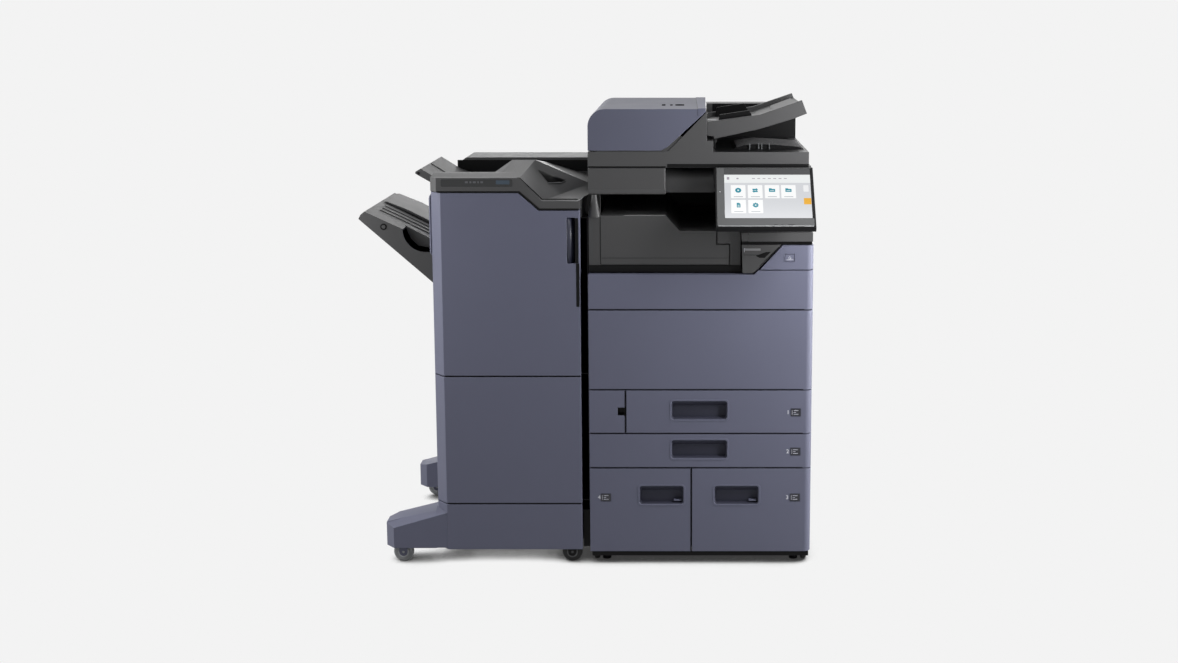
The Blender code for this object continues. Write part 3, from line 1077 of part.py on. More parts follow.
def build():
    chassis()
    side_covers()
    upper_panels()
    front_cover()
    waste_toner_door()
    cassettes()
    right_door()
    engine()
    output_bay()
    bridge_unit()
    tower()
    scanner()
    operation_panel()
    document_feeder()
    finisher_frame()
    finisher_covers()
    finisher_door()
    finisher_top()
    main_tray()
    outriggers()
    stapler()
    wheels()
    centre_on_floor()


build()
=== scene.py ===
"""A photocopier with a docked stapling finisher: finishes and small parts on the solids of the frame."""
import math

import bmesh
import bpy
from mathutils import Matrix, Vector


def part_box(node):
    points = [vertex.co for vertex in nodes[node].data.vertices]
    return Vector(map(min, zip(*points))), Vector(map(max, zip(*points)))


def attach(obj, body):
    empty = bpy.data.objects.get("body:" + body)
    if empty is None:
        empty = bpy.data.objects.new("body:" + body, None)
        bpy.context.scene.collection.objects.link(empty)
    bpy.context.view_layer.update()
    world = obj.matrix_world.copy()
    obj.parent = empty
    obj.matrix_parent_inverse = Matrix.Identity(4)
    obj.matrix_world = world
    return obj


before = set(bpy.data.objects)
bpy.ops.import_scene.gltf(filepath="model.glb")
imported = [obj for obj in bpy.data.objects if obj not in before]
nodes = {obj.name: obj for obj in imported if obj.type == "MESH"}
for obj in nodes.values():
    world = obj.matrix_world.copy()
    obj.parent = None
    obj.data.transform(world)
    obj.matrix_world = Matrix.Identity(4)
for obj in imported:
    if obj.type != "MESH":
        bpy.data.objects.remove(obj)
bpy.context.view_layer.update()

# ------------------------------------------------------------------ studio
# A pale seamless studio. The paper floor is as bright as the backdrop, with a painted shadow only where the machine
# stands over it. Soft lamps stand close to the front, and the viewer stands at eye level, a little left of the
# middle.
front_low, front_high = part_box("front_cover")
MIDDLE_X = (front_low[0] + front_high[0]) / 2
FRONT_Y = front_low[1]


def at(x, y, z):
    """A place in the machine: x from the middle of the main unit, y back from its front, z up from the floor."""
    return Vector((MIDDLE_X + x, FRONT_Y + y, z))


def linear(colour):
    """An sRGB hex colour as linear RGBA."""
    parts = [int(colour[i:i + 2], 16) / 255 for i in (1, 3, 5)]
    return (*[c / 12.92 if c <= 0.04045 else ((c + 0.055) / 1.055) ** 2.4 for c in parts], 1.0)


def add(tree, kind, settings=None, links=None):
    """One shader node: its properties and unlinked inputs, then what feeds its other inputs."""
    made = tree.nodes.new(kind)
    for key, value in (settings or {}).items():
        if isinstance(key, str) and hasattr(made, key) and key not in made.inputs:
            setattr(made, key, value)
        else:
            made.inputs[key].default_value = value
    for key, source in (links or {}).items():
        tree.links.new(source, made.inputs[key])
    return made


def blank(name):
    """A new material with nothing in it but its output."""
    made = bpy.data.materials.new(name)
    made.use_nodes = True
    made.node_tree.nodes.clear()
    out = add(made.node_tree, "ShaderNodeOutputMaterial")
    return made, made.node_tree, out


scene = bpy.context.scene
scene.view_settings.view_transform = "Standard"
BACKDROP = "#F3F3F3"
WORLD_LIGHT = 0.03          # the room's own light on the machine, as a share of white


def seen_rays(tree):
    """1 for the rays that look at the studio: straight, in a reflection or through glass."""
    path = add(tree, "ShaderNodeLightPath")
    mirrored = add(tree, "ShaderNodeMath", {"operation": "MAXIMUM"},
                   {0: path.outputs["Is Camera Ray"], 1: path.outputs["Is Glossy Ray"]})
    return add(tree, "ShaderNodeMath", {"operation": "MAXIMUM"},
               {0: mirrored.outputs[0], 1: path.outputs["Is Transmission Ray"]}).outputs[0]


world = bpy.data.worlds.new("studio")
scene.world = world
world.use_nodes = True
world.node_tree.nodes.clear()
sky = world.node_tree
seen = seen_rays(sky)
plain = add(sky, "ShaderNodeBackground", {"Color": linear(BACKDROP), "Strength": 1.0})
glow = add(sky, "ShaderNodeBackground", {"Color": (0.98, 0.98, 1.0, 1.0), "Strength": WORLD_LIGHT})
both = add(sky, "ShaderNodeMixShader", {}, {0: seen, 1: glow.outputs[0], 2: plain.outputs[0]})
sky.links.new(both.outputs[0], add(sky, "ShaderNodeOutputWorld").inputs["Surface"])

# Matt seamless paper: one even pale tone with no horizon, and a painted shadow close under what stands on it, where
# ambient occlusion darkens the paper's glow.
SHADOW_REACH = 0.11
PAPER_GREY = (0.40, 0.40, 0.40, 1.0)
paper_floor, tree, out = blank("seamless_paper")
near_things = add(tree, "ShaderNodeAmbientOcclusion", {"samples": 12, "Distance": SHADOW_REACH})
shadow = add(tree, "ShaderNodeMapRange", {"interpolation_type": "SMOOTHSTEP", "From Min": 0.30, "From Max": 0.58,
                                          "To Min": 0.05, "To Max": 1.0}, {"Value": near_things.outputs["AO"]})
even = add(tree, "ShaderNodeEmission", {"Color": linear(BACKDROP)}, {"Strength": shadow.outputs[0]})
matt = add(tree, "ShaderNodeBsdfDiffuse", {"Color": PAPER_GREY})
blend = add(tree, "ShaderNodeMixShader", {}, {0: seen_rays(tree), 1: matt.outputs[0], 2: even.outputs[0]})
tree.links.new(blend.outputs[0], out.inputs["Surface"])

floor_mesh = bpy.data.meshes.new("studio_floor")
REACH, FLOOR_Z = 30.0, -0.0005
floor_mesh.from_pydata([(-REACH, -REACH, FLOOR_Z), (REACH, -REACH, FLOOR_Z), (REACH, REACH, FLOOR_Z),
                        (-REACH, REACH, FLOOR_Z)], [], [(0, 1, 2, 3)])
floor = bpy.data.objects.new("studio_floor", floor_mesh)
scene.collection.objects.link(floor)
floor_mesh.materials.append(paper_floor)


def lamp(name, place, aim, size, power, colour=(1.0, 1.0, 1.0)):
    """A soft rectangular lamp that faces a point and stays out of sight."""
    data = bpy.data.lights.new(name, "AREA")
    data.shape = "RECTANGLE"
    data.size, data.size_y = size
    data.energy = power
    data.color = colour
    made = bpy.data.objects.new(name, data)
    scene.collection.objects.link(made)
    made.location = at(*place)
    made.rotation_euler = (at(*aim) - at(*place)).to_track_quat("-Z", "Y").to_euler()
    made.visible_camera = False


lamp("key_upper", (0.78, -0.50, 1.30), (0.10, 0.0, 0.95), (0.25, 0.7), 15)
lamp("key_lower", (0.78, -0.50, 0.62), (0.10, 0.0, 0.62), (0.25, 0.7), 2.0)
lamp("left_front", (-1.15, -0.42, 0.98), (-0.60, 0.0, 0.75), (0.25, 0.8), 1.7)
lamp("left_rim", (-1.50, -0.10, 1.12), (-0.70, 0.02, 0.90), (0.25, 0.7), 2)
lamp("right_rim", (1.45, -0.12, 0.75), (0.30, 0.0, 0.60), (0.2, 1.3), 10)
lamp("right_side", (2.60, 0.30, 0.80), (0.30, 0.35, 0.65), (1.2, 1.2), 44)
lamp("left_side", (-2.60, -0.15, 1.50), (-0.70, 0.20, 0.40), (1.2, 1.2), 42)
lamp("rear_side", (-0.20, 3.00, 0.75), (-0.20, 0.80, 0.70), (2.2, 1.1), 45)
lamp("back_top", (0.0, 2.0, 2.3), (0.0, 0.2, 1.1), (2.4, 0.6), 6)
lamp("screen_top", (0.18, -0.46, 2.6), (0.18, -0.10, 1.0), (0.9, 0.26), 5)

camera = bpy.data.objects.new("camera", bpy.data.cameras.new("camera"))
scene.collection.objects.link(camera)
scene.camera = camera
camera.data.lens = 45.37
camera.data.shift_x = -0.0778
camera.data.shift_y = -0.0849
EYE = (-0.054, -3.900, 1.485)
LOOK_DOWN = 8.221
camera.location = at(*EYE)
camera.rotation_euler = (math.radians(90.0 - LOOK_DOWN), 0.0, 0.0)

# ------------------------------------------------------------------ front panels
# The covers are moulded in ABS with an even spark-eroded grain, coloured violet-grey right through. The grain
# is about 0.4 mm; it takes the shine off and leaves a faint sheen. Each panel's edges are rounded 0.8 mm.
GRAIN = 0.0004
SHOWN_GRAIN = 2.5 * GRAIN   # drawn coarser than it is, so that it shows from across the room


def moulded(name, colour, roughness, grain_depth, shine=0.3, mottle=0.03):
    """Spark-textured ABS: one colour through, a fine pitted face and slightly uneven gloss."""
    made, tree, out = blank(name)
    where = add(tree, "ShaderNodeTexCoord").outputs["Object"]
    pits = add(tree, "ShaderNodeTexNoise", {"Scale": 1.0 / SHOWN_GRAIN, "Detail": 2.0}, {"Vector": where})
    patch = add(tree, "ShaderNodeTexNoise", {"Scale": 9.0, "Detail": 3.0, "Roughness": 0.6}, {"Vector": where})
    tone = add(tree, "ShaderNodeMapRange", {"To Min": 1.0 - mottle, "To Max": 1.0 + mottle},
               {"Value": patch.outputs["Fac"]})
    fine = add(tree, "ShaderNodeMapRange", {"To Min": 1.0 - mottle, "To Max": 1.0 + mottle},
               {"Value": pits.outputs["Fac"]})
    level = add(tree, "ShaderNodeMath", {"operation": "MULTIPLY"}, {0: tone.outputs[0], 1: fine.outputs[0]})
    dye = add(tree, "ShaderNodeVectorMath", {"operation": "SCALE", 0: linear(colour)[:3]},
              {"Scale": level.outputs[0]})
    gloss = add(tree, "ShaderNodeMapRange", {"To Min": roughness - 0.05, "To Max": roughness + 0.06},
                {"Value": patch.outputs["Fac"]})
    relief = add(tree, "ShaderNodeBump", {"Strength": 0.35, "Distance": grain_depth},
                 {"Height": pits.outputs["Fac"]})
    face = add(tree, "ShaderNodeBsdfPrincipled", {"IOR": 1.54, "Specular IOR Level": shine},
               {"Base Color": dye.outputs[0], "Roughness": gloss.outputs[0], "Normal": relief.outputs[0]})
    tree.links.new(face.outputs[0], out.inputs["Surface"])
    return made


# Violet-grey ABS, spark textured: a calm, half-matt face with a faint sheen and no clear reflection.
violet_abs = moulded("violet_grey_abs", "#606274", 0.50, 0.00006, 0.28)


def soften(obj, edge, segments=3, angle=32):
    """Joins the split corners of a hard-edged shape and rounds its edges, as a mould does."""
    mesh = obj.data
    if "custom_normal" in mesh.attributes:
        mesh.attributes.remove(mesh.attributes["custom_normal"])
    for polygon in mesh.polygons:
        polygon.use_smooth = True
    if not edge:
        mesh.set_sharp_from_angle(angle=math.radians(angle))
    weld = obj.modifiers.new("joined", "WELD")
    weld.merge_threshold = 0.00001
    planar = obj.modifiers.new("flat_faces", "DECIMATE")
    planar.decimate_type = "DISSOLVE"
    planar.angle_limit = math.radians(0.5)
    if edge:
        bevel = obj.modifiers.new("rounded_edges", "BEVEL")
        bevel.width = edge
        bevel.segments = segments
        bevel.limit_method = "ANGLE"
        bevel.angle_limit = math.radians(angle)
        bevel.harden_normals = False
    weighted = obj.modifiers.new("even_shading", "WEIGHTED_NORMAL")
    weighted.keep_sharp = not edge


def dress(names, finish, edge, segments=3):
    """The CAD's own solids, with their real finish and their edges rounded."""
    for name in names:
        obj = nodes[name]
        obj.data.materials.clear()
        obj.data.materials.append(finish)
        soften(obj, edge, segments)


dress(["front_cover", "upper_front_panel", "switch_panel", "waste_toner_door"]
      + [f"cassette_{n}_front" for n in (1, 2, 3, 4)], violet_abs, 0.0008)

# ------------------------------------------------------------------ cassette grips and level windows
# Each front has a finger pull with round corners, moulded as a cup behind the panel, and at its free end a
# number and a small window whose bar shows how much paper is left.
# Charcoal ABS with the same texture but a little more gloss: its edges catch the light.
charcoal_abs = moulded("charcoal_abs", "#404041", 0.40, 0.00006, 0.35)
# Black ABS with very little shine. It is the black parts' own colour, and as thin plates and strips it is also
# painted shade: it reads as depth in gaps, liners and grilles.
black_abs = moulded("black_abs", "#0E0E0F", 0.40, 0.00004, 0.10)
# White printing ink: a thin, flat, opaque film.
ink_white = moulded("printed_white_ink", "#C9CAD2", 0.5, 0.00001)


def piece(name, shape, rides, finish, edge=0.0, segments=3, smooth_angle=32):
    """A built shape becomes a shown piece that rides on its body."""
    bmesh.ops.recalc_face_normals(shape, faces=shape.faces)
    mesh = bpy.data.meshes.new(name)
    shape.to_mesh(mesh)
    shape.free()
    obj = bpy.data.objects.new(name, mesh)
    scene.collection.objects.link(obj)
    mesh.materials.append(finish)
    soften(obj, edge, segments, smooth_angle)
    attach(obj, rides)
    return obj


AXES = {"X": lambda u, v, d: (d, u, v), "Y": lambda u, v, d: (u, d, v), "Z": lambda u, v, d: (u, v, d)}


def prism(outline, along, low, high, shape=None):
    """A flat outline carried along an axis, in the machine's own places: (x, z) along Y, (y, z) along X."""
    shape = shape or bmesh.new()
    turn = AXES[along]
    near = [shape.verts.new(at(*turn(u, v, low))) for u, v in outline]
    back = [shape.verts.new(at(*turn(u, v, high))) for u, v in outline]
    shape.faces.new(near)
    shape.faces.new(list(reversed(back)))
    for i in range(len(outline)):
        j = (i + 1) % len(outline)
        shape.faces.new((near[i], back[i], back[j], near[j]))
    return shape


def rounded(u, v, radius, steps=5):
    """A rectangle's outline with round corners."""
    points = []
    for cu, cv, start in ((u[1] - radius, v[1] - radius, 0), (u[0] + radius, v[1] - radius, 90),
                          (u[0] + radius, v[0] + radius, 180), (u[1] - radius, v[0] + radius, 270)):
        for i in range(steps + 1):
            a = math.radians(start + 90 * i / steps)
            points.append((cu + radius * math.cos(a), cv + radius * math.sin(a)))
    return points


def skin(rings, shape=None, close_last=True):
    """Faces between rings of equal length, with the last ring filled."""
    shape = shape or bmesh.new()
    rows = [[shape.verts.new(point) for point in ring] for ring in rings]
    for first, second in zip(rows, rows[1:]):
        for i in range(len(first)):
            j = (i + 1) % len(first)
            shape.faces.new((first[i], first[j], second[j], second[i]))
    if close_last:
        shape.faces.new(rows[-1])
    return shape


def ring_xz(outline, y):
    """An upright ring at one depth."""
    return [at(u, y, v) for u, v in outline]


def block(x, y, z):
    """A box as a solid for moulding: its range along each axis."""
    return [(x[0], z[0]), (x[1], z[0]), (x[1], z[1]), (x[0], z[1])], "Y", y[0], y[1]


def disc(u, v, radius, along, low, high, steps=28):
    """A round disc or shaft as a solid for moulding."""
    return [(u + radius * math.cos(2 * math.pi * i / steps), v + radius * math.sin(2 * math.pi * i / steps))
            for i in range(steps)], along, low, high


def moulding(name, rides, slot, finish, edge, *solids):
    """One piece from several straight-sided solids, its edges rounded."""
    shape = bmesh.new()
    for outline, along, low, high in solids:
        prism(outline, along, low, high, shape)
    return piece(name, shape, rides, finish, edge, 2)


# The same violet ABS inside the grips, left rougher by the mould's cores and painted darker as shade: darker and
# duller than the fronts.
cup_abs = moulded("shaded_grip_abs", "#373845", 0.5, 0.00004, 0.2, 0.02)
# Grey printing ink: the level signs stay quiet beside the white numbers.
ink_grey = moulded("printed_grey_ink", "#A3A4AF", 0.5, 0.00001)
PULLS = {1: (-0.0035, 0.152), 2: (-0.0035, 0.152), 3: (0.0980, 0.121), 4: (-0.1060, 0.121)}  # middle, width
GRIP_BELOW, GRIP_ABOVE, GRIP_WALL = 0.025, 0.027, 0.0006
GRIP_Z = {1: 0.4325, 2: 0.32375, 3: 0.19505, 4: 0.19505}
for number, (middle, width) in PULLS.items():
    u = (middle - width / 2, middle + width / 2)
    v = (GRIP_Z[number] - GRIP_BELOW, GRIP_Z[number] + GRIP_ABOVE)
    holder = f"cassette_{number}"
    rings = []
    for grow, radius, y in ((0.0046, 0.0110, 0.0003), (0.0041, 0.0108, -0.0008), (0.0004, 0.0078, -0.0009),
                            (-0.0008, 0.0070, 0.0004)):
        rings.append(ring_xz(rounded((u[0] - grow, u[1] + grow), (v[0] - grow, v[1] + grow), radius), y))
    bezel = piece(f"{holder}_pull_bezel", skin(rings, close_last=False), holder, violet_abs)
    bezel.modifiers.new("wall", "SOLIDIFY").thickness = GRIP_WALL
    rings = []
    for inset, top, radius, y in ((0.0007, 0.0007, 0.0070, 0.0003), (0.0018, 0.0045, 0.0066, 0.0045),
                                  (0.0022, 0.0090, 0.0060, 0.0100), (0.0030, 0.0165, 0.0050, 0.0190)):
        rings.append(ring_xz(rounded((u[0] + inset, u[1] - inset), (v[0] + inset, v[1] - top), radius), y))
    cup = piece(f"{holder}_pull_cup", skin(rings), holder, cup_abs, 0.0, 2, 50)
    cup.modifiers.new("wall", "SOLIDIFY").thickness = GRIP_WALL
    if number > 2:
        moulding(f"{holder}_pull_latch", holder, "violet_plastic", violet_abs, 0.0004,
                 block((u[1] - 0.027, u[1] - 0.006), (0.0050, 0.0185), (v[0] + 0.0080, v[0] + 0.0110)))

# Smoked acrylic, moulded and left polished: a dark smooth pane with a soft reflection.
smoked_window, tree, out = blank("smoked_acrylic")
face = add(tree, "ShaderNodeBsdfPrincipled", {"Base Color": linear("#23242C"), "Roughness": 0.14, "IOR": 1.49})
tree.links.new(face.outputs[0], out.inputs["Surface"])
WINDOW_W, DIGIT_SIZE = 0.0288, 0.0150
WINDOWS = {1: (0.2426, 0.2362, 0.4278), 2: (0.2426, 0.2362, 0.3185), 3: (0.2426, 0.2362, 0.1895),
           4: (-0.2720, -0.2755, 0.1895)}
for number, (left, digit_x, z) in WINDOWS.items():
    holder = f"cassette_{number}"
    edge_frame = (rounded((left, left + WINDOW_W), (z - 0.0115, z + 0.0115), 0.0022), "Y", -0.0005, 0.0004)
    moulding(f"{holder}_level_frame", holder, "violet_plastic", cup_abs, 0.0002, edge_frame)
    pane = (rounded((left + 0.0016, left + 0.0272), (z - 0.0100, z + 0.0100), 0.0014), "Y", -0.0008, -0.0004)
    moulding(f"{holder}_level_window", holder, "violet_plastic", smoked_window, 0.0002, pane)
    bars = [(rounded((left + 0.0085, left + 0.0215), (base, base + 0.0021), 0.0006, 2), "Y", -0.0010, -0.0007)
            for base in (z - 0.0062, z + 0.0042)]
    bars += [(rounded((left + 0.0040, left + 0.0054), (z - 0.0066, z + 0.0068), 0.0004, 2), "Y", -0.0010, -0.0007),
             (rounded((left + 0.0085, left + 0.0150), (z - 0.0010, z + 0.0008), 0.0004, 2), "Y", -0.0010, -0.0007)]
    moulding(f"{holder}_level_marks", holder, "violet_plastic", ink_grey, 0.0, *bars)
    text = bpy.data.curves.new(f"digit_{number}", "FONT")
    text.body = str(number)
    text.size = DIGIT_SIZE
    text.align_x, text.align_y = "CENTER", "CENTER"
    text.extrude = 0.00012
    text.offset = 0.0003
    digit = bpy.data.objects.new(f"cassette_{number}_digit", text)
    scene.collection.objects.link(digit)
    digit.location = at(digit_x, -0.0003, z)
    digit.rotation_euler = (math.radians(90), 0, 0)
    text.materials.append(ink_white)
    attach(digit, holder)
moulding("waste_door_notch", "waste_door", "black_plastic", black_abs, 0.0,
         block((-0.2238, -0.2036), (0.0150, 0.0158), (0.4195, 0.4405)),
         block((-0.2238, -0.2036), (0.0004, 0.0156), (0.4398, 0.4405)),
         block((-0.2238, -0.2036), (0.0004, 0.0156), (0.4195, 0.4202)),
         block((-0.2241, -0.2234), (0.0004, 0.0156), (0.4195, 0.4405)))

# ------------------------------------------------------------------ power key
# A rocker-sized key in the switch panel, in a thin raised rim, with a white standby ring on its face.
dress(["power_button"], violet_abs, 0.0008)
key_low, key_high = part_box("power_button")
kx = ((key_low[0] + key_high[0]) / 2 - MIDDLE_X, (key_low[2] + key_high[2]) / 2)
rim = bmesh.new()
outer = rounded((kx[0] - 0.0150, kx[0] + 0.0150), (kx[1] - 0.0120, kx[1] + 0.0120), 0.0030)
inner = rounded((kx[0] - 0.0132, kx[0] + 0.0132), (kx[1] - 0.0102, kx[1] + 0.0102), 0.0016)
skin([ring_xz(outer, 0.0002), ring_xz(outer, -0.0009), ring_xz(inner, -0.0009), ring_xz(inner, 0.0030)],
     rim, False)
piece("power_key_rim", rim, "machine", violet_abs)
symbol = bmesh.new()
INK = (0.0002, 0.0007)
prism(rounded((kx[0] - 0.0098, kx[0] + 0.0098), (kx[1] - 0.0062, kx[1] - 0.0052), 0.0004, 2), "Y", *INK, symbol)
RING_OUTER, RING_INNER = 0.0034, 0.0026
RING_DROP = 0.0005
ring = [(kx[0] + radius * math.sin(math.radians(a)), kx[1] - RING_DROP + radius * math.cos(math.radians(a)))
        for radius, turns in ((RING_OUTER, range(40, 321, 20)), (RING_INNER, range(320, 39, -20))) for a in turns]
prism(ring, "Y", *INK, symbol)
prism([(kx[0] - 0.0005, kx[1] + 0.0005), (kx[0] + 0.0005, kx[1] + 0.0005), (kx[0] + 0.0005, kx[1] + 0.0042),
       (kx[0] - 0.0005, kx[1] + 0.0042)], "Y", *INK, symbol)
piece("standby_symbol", symbol, "power_key", ink_white)

# ------------------------------------------------------------------ operation panel
# A flat touch panel: charcoal bezel, glass bonded over a lit liquid crystal display. The display shows a white
# bar, six white keys with teal signs and a yellow start key, as such machines do.
dress(["operation_panel"], black_abs, 0.0022, 4)
dress(["panel_arm"], charcoal_abs, 0.0015)
# Polished glass bonded over black print: nearly black, with a sharp thin reflection on top.
glass_black, tree, out = blank("bonded_glass")
face = add(tree, "ShaderNodeBsdfPrincipled", {"Base Color": linear("#2A2B2D"), "Roughness": 0.08, "IOR": 1.5,
                                              "Coat Weight": 0.5, "Coat Roughness": 0.03})
tree.links.new(face.outputs[0], out.inputs["Surface"])
dress(["touch_screen"], glass_black, 0.0004, 2)
TILT = math.radians(45.5)
screen_low, screen_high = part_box("touch_screen")
SCREEN_ORIGIN = Vector((screen_low[0], screen_low[1], screen_low[2] + 0.002 * math.cos(TILT)))
UP_SCREEN = Vector((0.0, math.cos(TILT), math.sin(TILT)))
OFF_SCREEN = Vector((0.0, -math.sin(TILT), math.cos(TILT)))
GLASS_WIDTH = screen_high[0] - screen_low[0]


def on_screen(u, v, lift):
    """A place on the glass: u from its left edge, v up from its lower edge, lift off its face."""
    return SCREEN_ORIGIN + Vector((u, 0, 0)) + UP_SCREEN * v + OFF_SCREEN * lift


def decal(outline, lift, thick, shape):
    """A thin raised layer on the glass."""
    top = [shape.verts.new(on_screen(u, v, lift + thick)) for u, v in outline]
    low = [shape.verts.new(on_screen(u, v, lift)) for u, v in outline]
    shape.faces.new(top)
    shape.faces.new(list(reversed(low)))
    for i in range(len(outline)):
        j = (i + 1) % len(outline)
        shape.faces.new((top[i], low[i], low[j], top[j]))


bezel = bmesh.new()
for (u0, u1), (v0, v1) in (((-0.0062, 0.2438), (-0.0352, -0.0112)), ((-0.0062, 0.0128), (-0.0112, 0.1534)),
                           ((-0.0062, 0.2438), (0.1534, 0.1556))):
    decal([(u0, v0), (u1, v0), (u1, v1), (u0, v1)], 0.0, 0.00015, bezel)
# ABS from a finer textured mould: smooth enough that the face lightens where it looks up.
bezel_abs = moulded("bezel_abs", "#3C3D3E", 0.38, 0.00003, 0.4)
piece("panel_bezel_face", bezel, "panel", bezel_abs)
# The bezel's lower edge is pale grey ABS as a painted highlight and shows as one bright line.
edge_abs = moulded("painted_bezel_highlight", "#A4A6A8", 0.25, 0.00001)
bezel_edge = bmesh.new()
decal(rounded((-0.0040, 0.2417), (-0.0368, -0.0352), 0.0006, 2), 0.0, 0.0004, bezel_edge)
piece("panel_bezel_edge", bezel_edge, "panel", edge_abs)


def lit(name, colour, strength=0.9):
    """A colour of the display: its own light behind a smooth cover."""
    made, tree, out = blank(name)
    face = add(tree, "ShaderNodeBsdfPrincipled", {
        "Base Color": (0.0, 0.0, 0.0, 1.0), "Roughness": 0.12, "IOR": 1.45, "Specular IOR Level": 0.35,
        "Emission Color": linear(colour), "Emission Strength": strength})
    tree.links.new(face.outputs[0], out.inputs["Surface"])
    return made


def layer(name, outlines, lift, colour, strength=0.9):
    """One colour of the display's picture, a little in front of the one below it."""
    shape = bmesh.new()
    for outline in outlines:
        decal(outline, lift, 0.00012, shape)
    return piece(name, shape, "panel", lit(name + "_light", colour, strength))


DU = (0.0136, GLASS_WIDTH - 0.0006)
DV = (-0.0105, 0.1320)
display_w, display_h = DU[1] - DU[0], DV[1] - DV[0]


def spot(u, v):
    """A place on the display, as shares of its width and height from its lower left corner."""
    return (DU[0] + u * display_w, DV[0] + v * display_h)


def card(u, v, w, h, r=0.0018):
    """A key or bar on the display: middle and size as shares, corner radius in metres."""
    low, high = spot(u - w / 2, v - h / 2), spot(u + w / 2, v + h / 2)
    return rounded((low[0], high[0]), (low[1], high[1]), r, 3)


layer("display_field", [rounded(DU, DV, 0.0008, 2)], 0.00005, "#DADCE0")
layer("display_bar", [card(0.5, 0.905, 1.0, 0.19, 0.0006)], 0.0002, "#F4F7F7")
KEYS = [(0.159, 0.605), (0.355, 0.605), (0.551, 0.605), (0.741, 0.605), (0.159, 0.263), (0.355, 0.263)]
layer("display_keys", [card(u, v, 0.170, 0.305) for u, v in KEYS], 0.0002, "#FCFDFD", 0.95)
layer("display_edge_key", [card(0.945, 0.68, 0.060, 0.15)], 0.0002, "#F6F7F8")
layer("display_start_key", [card(0.955, 0.384, 0.085, 0.145, 0.0012)], 0.0002, "#F2B21C")
layer("display_bar_marks", [card(0.045, 0.915, 0.028, 0.060, 0.0003), card(0.155, 0.910, 0.024, 0.030, 0.0003)]
      + [card(0.34 + 0.062 * i, 0.910, 0.034, 0.016, 0.0002) for i in range(7)], 0.00035, "#A9A2AC")
layer("display_key_captions", [card(u, v - 0.118, 0.105, 0.016, 0.0002) for u, v in KEYS], 0.00035, "#B9BEC4")


def dot(u, v, radius, steps=20):
    """A round mark on the display."""
    cu, cv = spot(u, v)
    return [(cu + radius * math.cos(2 * math.pi * i / steps), cv + radius * math.sin(2 * math.pi * i / steps))
            for i in range(steps)]


def local(u, v, points, scale=0.00115):
    """A small sign drawn round a place on the display."""
    cu, cv = spot(u, v)
    return [(cu + a * scale, cv + b * scale) for a, b in points]


signs = [dot(KEYS[0][0], KEYS[0][1] + 0.03, 0.0080)]
arrow = [(-6, 1), (2, 1), (2, -1.5), (6.5, 3), (2, 7.5), (2, 5), (-6, 5)]
signs += [local(KEYS[1][0], KEYS[1][1] + 0.025, arrow),
          local(KEYS[1][0], KEYS[1][1] + 0.03, [(-a, -b) for a, b in arrow])]
folder = [(-7, -4.5), (7, -4.5), (7, 4), (0, 4), (-1.5, 5.8), (-7, 5.8)]
signs += [local(KEYS[2][0], KEYS[2][1] + 0.03, folder), local(KEYS[3][0], KEYS[3][1] + 0.03, folder)]
signs += [local(KEYS[4][0], KEYS[4][1] + 0.03, [(-4.2, -6.5), (4.2, -6.5), (4.2, 3.5), (1.2, 6.5), (-4.2, 6.5)])]
cu, cv = spot(KEYS[5][0], KEYS[5][1] + 0.03)
signs += [[(cu + (0.0082 if i % 4 < 2 else 0.0066) * math.cos(math.pi * i / 16),
            cv + (0.0082 if i % 4 < 2 else 0.0066) * math.sin(math.pi * i / 16)) for i in range(32)]]
layer("display_signs", signs, 0.00035, "#0A8FA3")
layer("display_sign_details", [
      dot(KEYS[0][0], KEYS[0][1] + 0.03, 0.0026), dot(KEYS[5][0], KEYS[5][1] + 0.03, 0.0024),
      local(KEYS[4][0], KEYS[4][1] + 0.03, [(-2.4, -1), (2.4, -1), (2.4, 0.4), (-2.4, 0.4)]),
      local(KEYS[4][0], KEYS[4][1] + 0.03, [(-2.4, -4), (2.4, -4), (2.4, -2.6), (-2.4, -2.6)]),
      local(KEYS[2][0], KEYS[2][1] + 0.03, [(-4.5, -1.2), (4.5, -1.2), (4.5, 0.2), (-4.5, 0.2)]),
      local(KEYS[3][0], KEYS[3][1] + 0.03, [(-4.5, -1.2), (4.5, -1.2), (4.5, 0.2), (-4.5, 0.2)])],
      0.0005, "#EAF7F8")
lamps_on_bezel = bmesh.new()
decal(rounded((0.0005, 0.0033), (0.0740, 0.0768), 0.0013, 4), 0.0, 0.0003, lamps_on_bezel)
piece("panel_lamp", lamps_on_bezel, "panel", lit("lamp_white", "#E8ECEE", 0.8))
marks = bmesh.new()
for u, w in ((0.140, 0.009), (0.158, 0.004), (0.176, 0.016)):
    decal(rounded((u, u + w), (-0.0322, -0.0308), 0.0005, 2), 0.0, 0.0002, marks)
piece("panel_key_marks", marks, "panel", black_abs)

# ------------------------------------------------------------------ document feeder
# Sheets are drawn in under the violet hood and fall onto the ribbed deck below the tray. All of it is moulded
# ABS on a steel frame; the hood's right end is a separate cap, and its top has a lamp window that shows a sheet.
dress(["feeder_body", "original_tray"], charcoal_abs, 0.0012)
# The hood's ABS is a shade darker than the fronts and has the same half-matt face.
hood_abs = moulded("hood_abs", "#565868", 0.5, 0.00005, 0.28)
dress(["feeder_hood"], hood_abs, 0.0020)
dress(["guide_front", "guide_rear"], black_abs, 0.0008)
